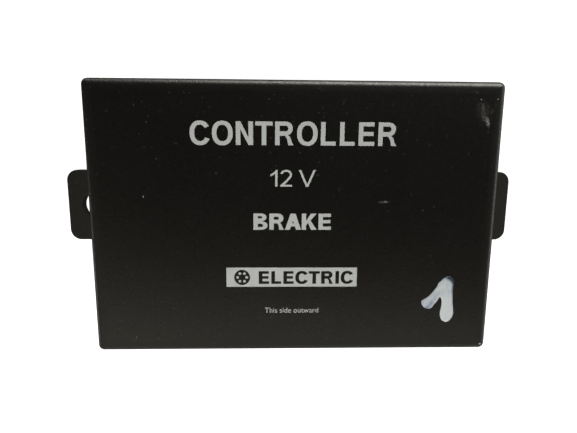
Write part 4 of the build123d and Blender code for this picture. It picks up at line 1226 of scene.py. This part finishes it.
def sensor_tracks():
    """Paths from the -Y and +Y sides of the motion sensor."""
    paths = []
    for k in range(8):
        x = SENSOR_X + (k - 3.5) * SENSOR_PITCH
        paths.append([(x, SENSOR_Y - SENSOR_REACH), (x, SENSOR_Y - 6.0 - 0.2 * k)])
        end = (x + (0.5 if k > 3 else -0.5), SENSOR_Y + 5.6)
        paths.append([(x, SENSOR_Y + SENSOR_REACH), end])
    return paths


tracks = [(path, CHIP_TRACK) for path in chip_tracks()]
tracks += [(path, SENSOR_TRACK) for path in sensor_tracks()]
tracks += SUPPLY_TRACKS
combine("board_tracks", [strip(path, width, TRACK_TOP) for path, width in tracks], TRACK_MASK)


def box_outline(node, gap, width=0.16):
    """Four printed lines round a part, a gap away from it."""
    low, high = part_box(node)
    x0, x1 = low[0] / MM - gap, high[0] / MM + gap
    y0, y1 = low[1] / MM - gap, high[1] / MM + gap
    corners = [np.array(c) for c in ((x0, y0), (x1, y0), (x1, y1), (x0, y1))]
    lines = []
    for start, end in zip(corners, corners[1:] + corners[:1]):
        past = np.sign(end - start) * (width / 2)
        lines.append(strip([start - past, end + past], width, SILK_TOP))
    return lines


def board_outlines():
    marks = []
    for node, gap in (
        ("relay_cover", 0.4), ("fuse_holder", 0.5), ("gain_trimmer_body", 0.45),
        ("limit_trimmer_body", 0.45), ("service_header", 0.4), ("clock_crystal", 0.5),
        ("protection_diode", 0.45),
    ):
        marks += box_outline(node, gap)
    for node in ("smoothing_capacitors", "filter_capacitors"):
        for low, high in islands(node):
            radius = (high[0] - low[0]) / 2
            inner, outer = radius + 0.00035, radius + 0.00052
            marks.append(annulus(middle(low, high), inner, outer, SILK_TOP, 48))
    choke = middle(*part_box("choke_core"))
    marks.append(annulus(choke, 0.0118, 0.01197, SILK_TOP, 64))
    combine("board_outlines", marks, SILK)


board_outlines()

RELAY_LOW, RELAY_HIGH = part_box("relay_cover")
HOLDER_LOW, HOLDER_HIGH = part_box("fuse_holder")
# name, text, x, y
for name, text, x, y in (
    ("relay", "K1", RELAY_HIGH.x / MM + 1.9, RELAY_LOW.y / MM - 1.4),
    ("fuse", "F1", HOLDER_LOW.x / MM - 2.0, HOLDER_HIGH.y / MM - 1.0),
    ("choke", "L1", -28.2, 17.8),
    ("processor", "U1", CHIP_X - 7.6, CHIP_Y + 7.0),
    ("sensor", "U2", SENSOR_X - 7.2, SENSOR_Y + 4.6),
    ("gain", "P1", 36.3, -7.6),
    ("limit", "P2", 36.3, -19.0),
    ("header", "J2", 43.6, 0.9),
):
    label = plain_text(text, size=1.7, weight=0.02)
    label.transform(Matrix.Translation((x * MM, y * MM, SILK_TOP)))
    piece("board_label_" + name, label, SILK, "base")

# rating number on top of the fuse
fuse_low, fuse_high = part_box("fuse_body")
number = plain_text("15", size=2.4, weight=0.03)
number.transform(Matrix.Translation((*middle(fuse_low, fuse_high), fuse_high.z + 0.00001)))
FUSE_PRINT = plastic("fuse_print", base=(0.80, 0.78, 0.70), light=(0.88, 0.86, 0.80), rough=0.5)
piece("fuse_rating_number", number, FUSE_PRINT, "fuse")


# ------------------------------------------------------------------ stage, lights and camera
def stage_material():
    """A glowing white floor, clear from below so that the base plate can be looked at."""
    mat = Mat("stage_floor")
    tone = mat.noise(6, rough=0.5)
    for key, value in {
        "Base Color": mat.mottle(tone, (0.50, 0.50, 0.495), (0.53, 0.53, 0.525)),
        "Roughness": 0.9,
        "Specular IOR Level": 0.0,
        "Emission Color": (1.0, 1.0, 0.995),
        "Emission Strength": 1.0,
    }.items():
        mat.put(mat.bsdf.inputs[key], value)
    clear = mat.node("BsdfTransparent").outputs[0]
    backfacing = mat.geometry()["Backfacing"]
    pick = mat.node("MixShader", {0: backfacing, 1: mat.bsdf.outputs[0], 2: clear})
    mat.put(mat.out.inputs[0], pick.outputs[0])
    return mat.material


def add_floor(half=1.6, gap=0.0004):
    """A square floor a small gap below the base plate."""
    mesh = bpy.data.meshes.new("floor")
    corners = [(-half, -half, 0), (half, -half, 0), (half, half, 0), (-half, half, 0)]
    mesh.from_pydata(corners, [], [(0, 1, 2, 3)])
    floor = bpy.data.objects.new("floor", mesh)
    floor.location = (0, 0, PLATE_BOTTOM - gap)
    mesh.materials.append(stage_material())
    bpy.context.scene.collection.objects.link(floor)
    floor.visible_glossy = False


# name, place, aim, size, size y, watts, colour
LIGHTS = (
    ("key", (-0.08, -0.30, 0.52), (0, 0, 0.03), 0.40, 0.30, 3.05, (1.0, 0.99, 0.965)),
    ("front_sheen", (-0.01, -0.335, 0.425), (0, 0, 0.03), 0.80, 0.30, 0.535, (1.0, 0.975, 0.86)),
    ("front_low_strip", (0.0, -0.42, 0.10), (0, -0.02, 0.03), 0.90, 0.10, 0.48, (1.0, 0.98, 0.94)),
    ("back_softbox", (0.14, 0.38, 0.232), (0.0, 0.03, 0.03), 0.46, 0.20, 3.7, (1.0, 0.995, 0.98)),
    ("back_strip", (0.05, 0.44, 0.055), (0.0, 0.03, 0.03), 0.80, 0.12, 1.15, (1.0, 0.995, 0.98)),
    ("right_strip", (0.40, -0.02, 0.05), (0.05, 0, 0.02), 0.40, 0.12, 0.32, (1.0, 0.99, 0.96)),
    ("right_soft", (0.38, -0.06, 0.20), (0.05, 0, 0.03), 0.40, 0.20, 0.20, (1.0, 0.98, 0.94)),
    ("left_soft", (-0.30, -0.13, 0.36), (-0.03, -0.01, 0.03), 0.30, 0.22, 0.042,
     (1.0, 0.975, 0.88)),
    ("left_strip", (-0.40, -0.14, 0.05), (-0.05, 0, 0.02), 0.22, 0.08, 0.20, (1.0, 0.99, 0.96)),
)


def add_light(name, place, aim, size, size_y, power, colour):
    """The key only lights the colours; the sheen comes from all the others."""
    light = bpy.data.lights.new(name, "AREA")
    light.energy = power
    light.color = colour
    light.shape = "RECTANGLE"
    light.size = size
    light.size_y = size_y
    item = bpy.data.objects.new(name, light)
    item.location = place
    item.rotation_mode = "QUATERNION"
    item.rotation_quaternion = (Vector(aim) - Vector(place)).to_track_quat("-Z", "Y")
    item.visible_diffuse = name == "key"
    item.visible_glossy = name != "key"
    bpy.context.scene.collection.objects.link(item)


def add_world():
    """The camera sees plain white past the floor's edge; the object sees a dim sky."""
    world = bpy.data.worlds.new("studio")
    bpy.context.scene.world = world
    world.use_nodes = True
    nodes, links = world.node_tree.nodes, world.node_tree.links
    sky = nodes["Background"]
    sky.inputs["Color"].default_value = (0.96, 0.98, 1.0, 1)
    sky.inputs["Strength"].default_value = 0.05
    white = nodes.new("ShaderNodeBackground")
    white.inputs["Color"].default_value = (1.0, 1.0, 0.995, 1)
    white.inputs["Strength"].default_value = 1.0
    ray = nodes.new("ShaderNodeLightPath")
    blend = nodes.new("ShaderNodeMixShader")
    links.new(ray.outputs["Is Camera Ray"], blend.inputs[0])
    links.new(sky.outputs[0], blend.inputs[1])
    links.new(white.outputs[0], blend.inputs[2])
    links.new(blend.outputs[0], nodes["World Output"].inputs[0])


def add_camera():
    """A camera above the front face, set by the face's pose in a view with Y down, Z ahead."""
    turn = np.radians([9.265, -1.597, 0.259])  # rotation vector
    shift = Vector((1.648, 1.364, 109.328)) * MM  # from the lens to the face's centre
    angle = float(np.linalg.norm(turn))
    flip = Matrix(((1, 0, 0), (0, -1, 0), (0, 0, -1)))
    to_scene = (Matrix.Rotation(angle, 3, Vector(turn / angle)) @ flip).transposed()
    data = bpy.data.cameras.new("camera")
    data.sensor_width = 36.0
    data.lens = 26.25
    data.clip_start = 0.005
    data.clip_end = 20
    camera = bpy.data.objects.new("camera", data)
    place = -(to_scene @ shift) + Vector((FACE_X, FACE_Y, FACE_Z))
    camera.matrix_world = Matrix.Translation(place) @ (to_scene @ flip).to_4x4()
    bpy.context.scene.collection.objects.link(camera)
    bpy.context.scene.camera = camera


add_floor()
for row in LIGHTS:
    add_light(*row)
add_world()
add_camera()
bpy.context.scene.view_settings.view_transform = "Standard"
bpy.context.scene.view_settings.look = "None"

# ------------------------------------------------------------------ the end
bpy.context.view_layer.update()
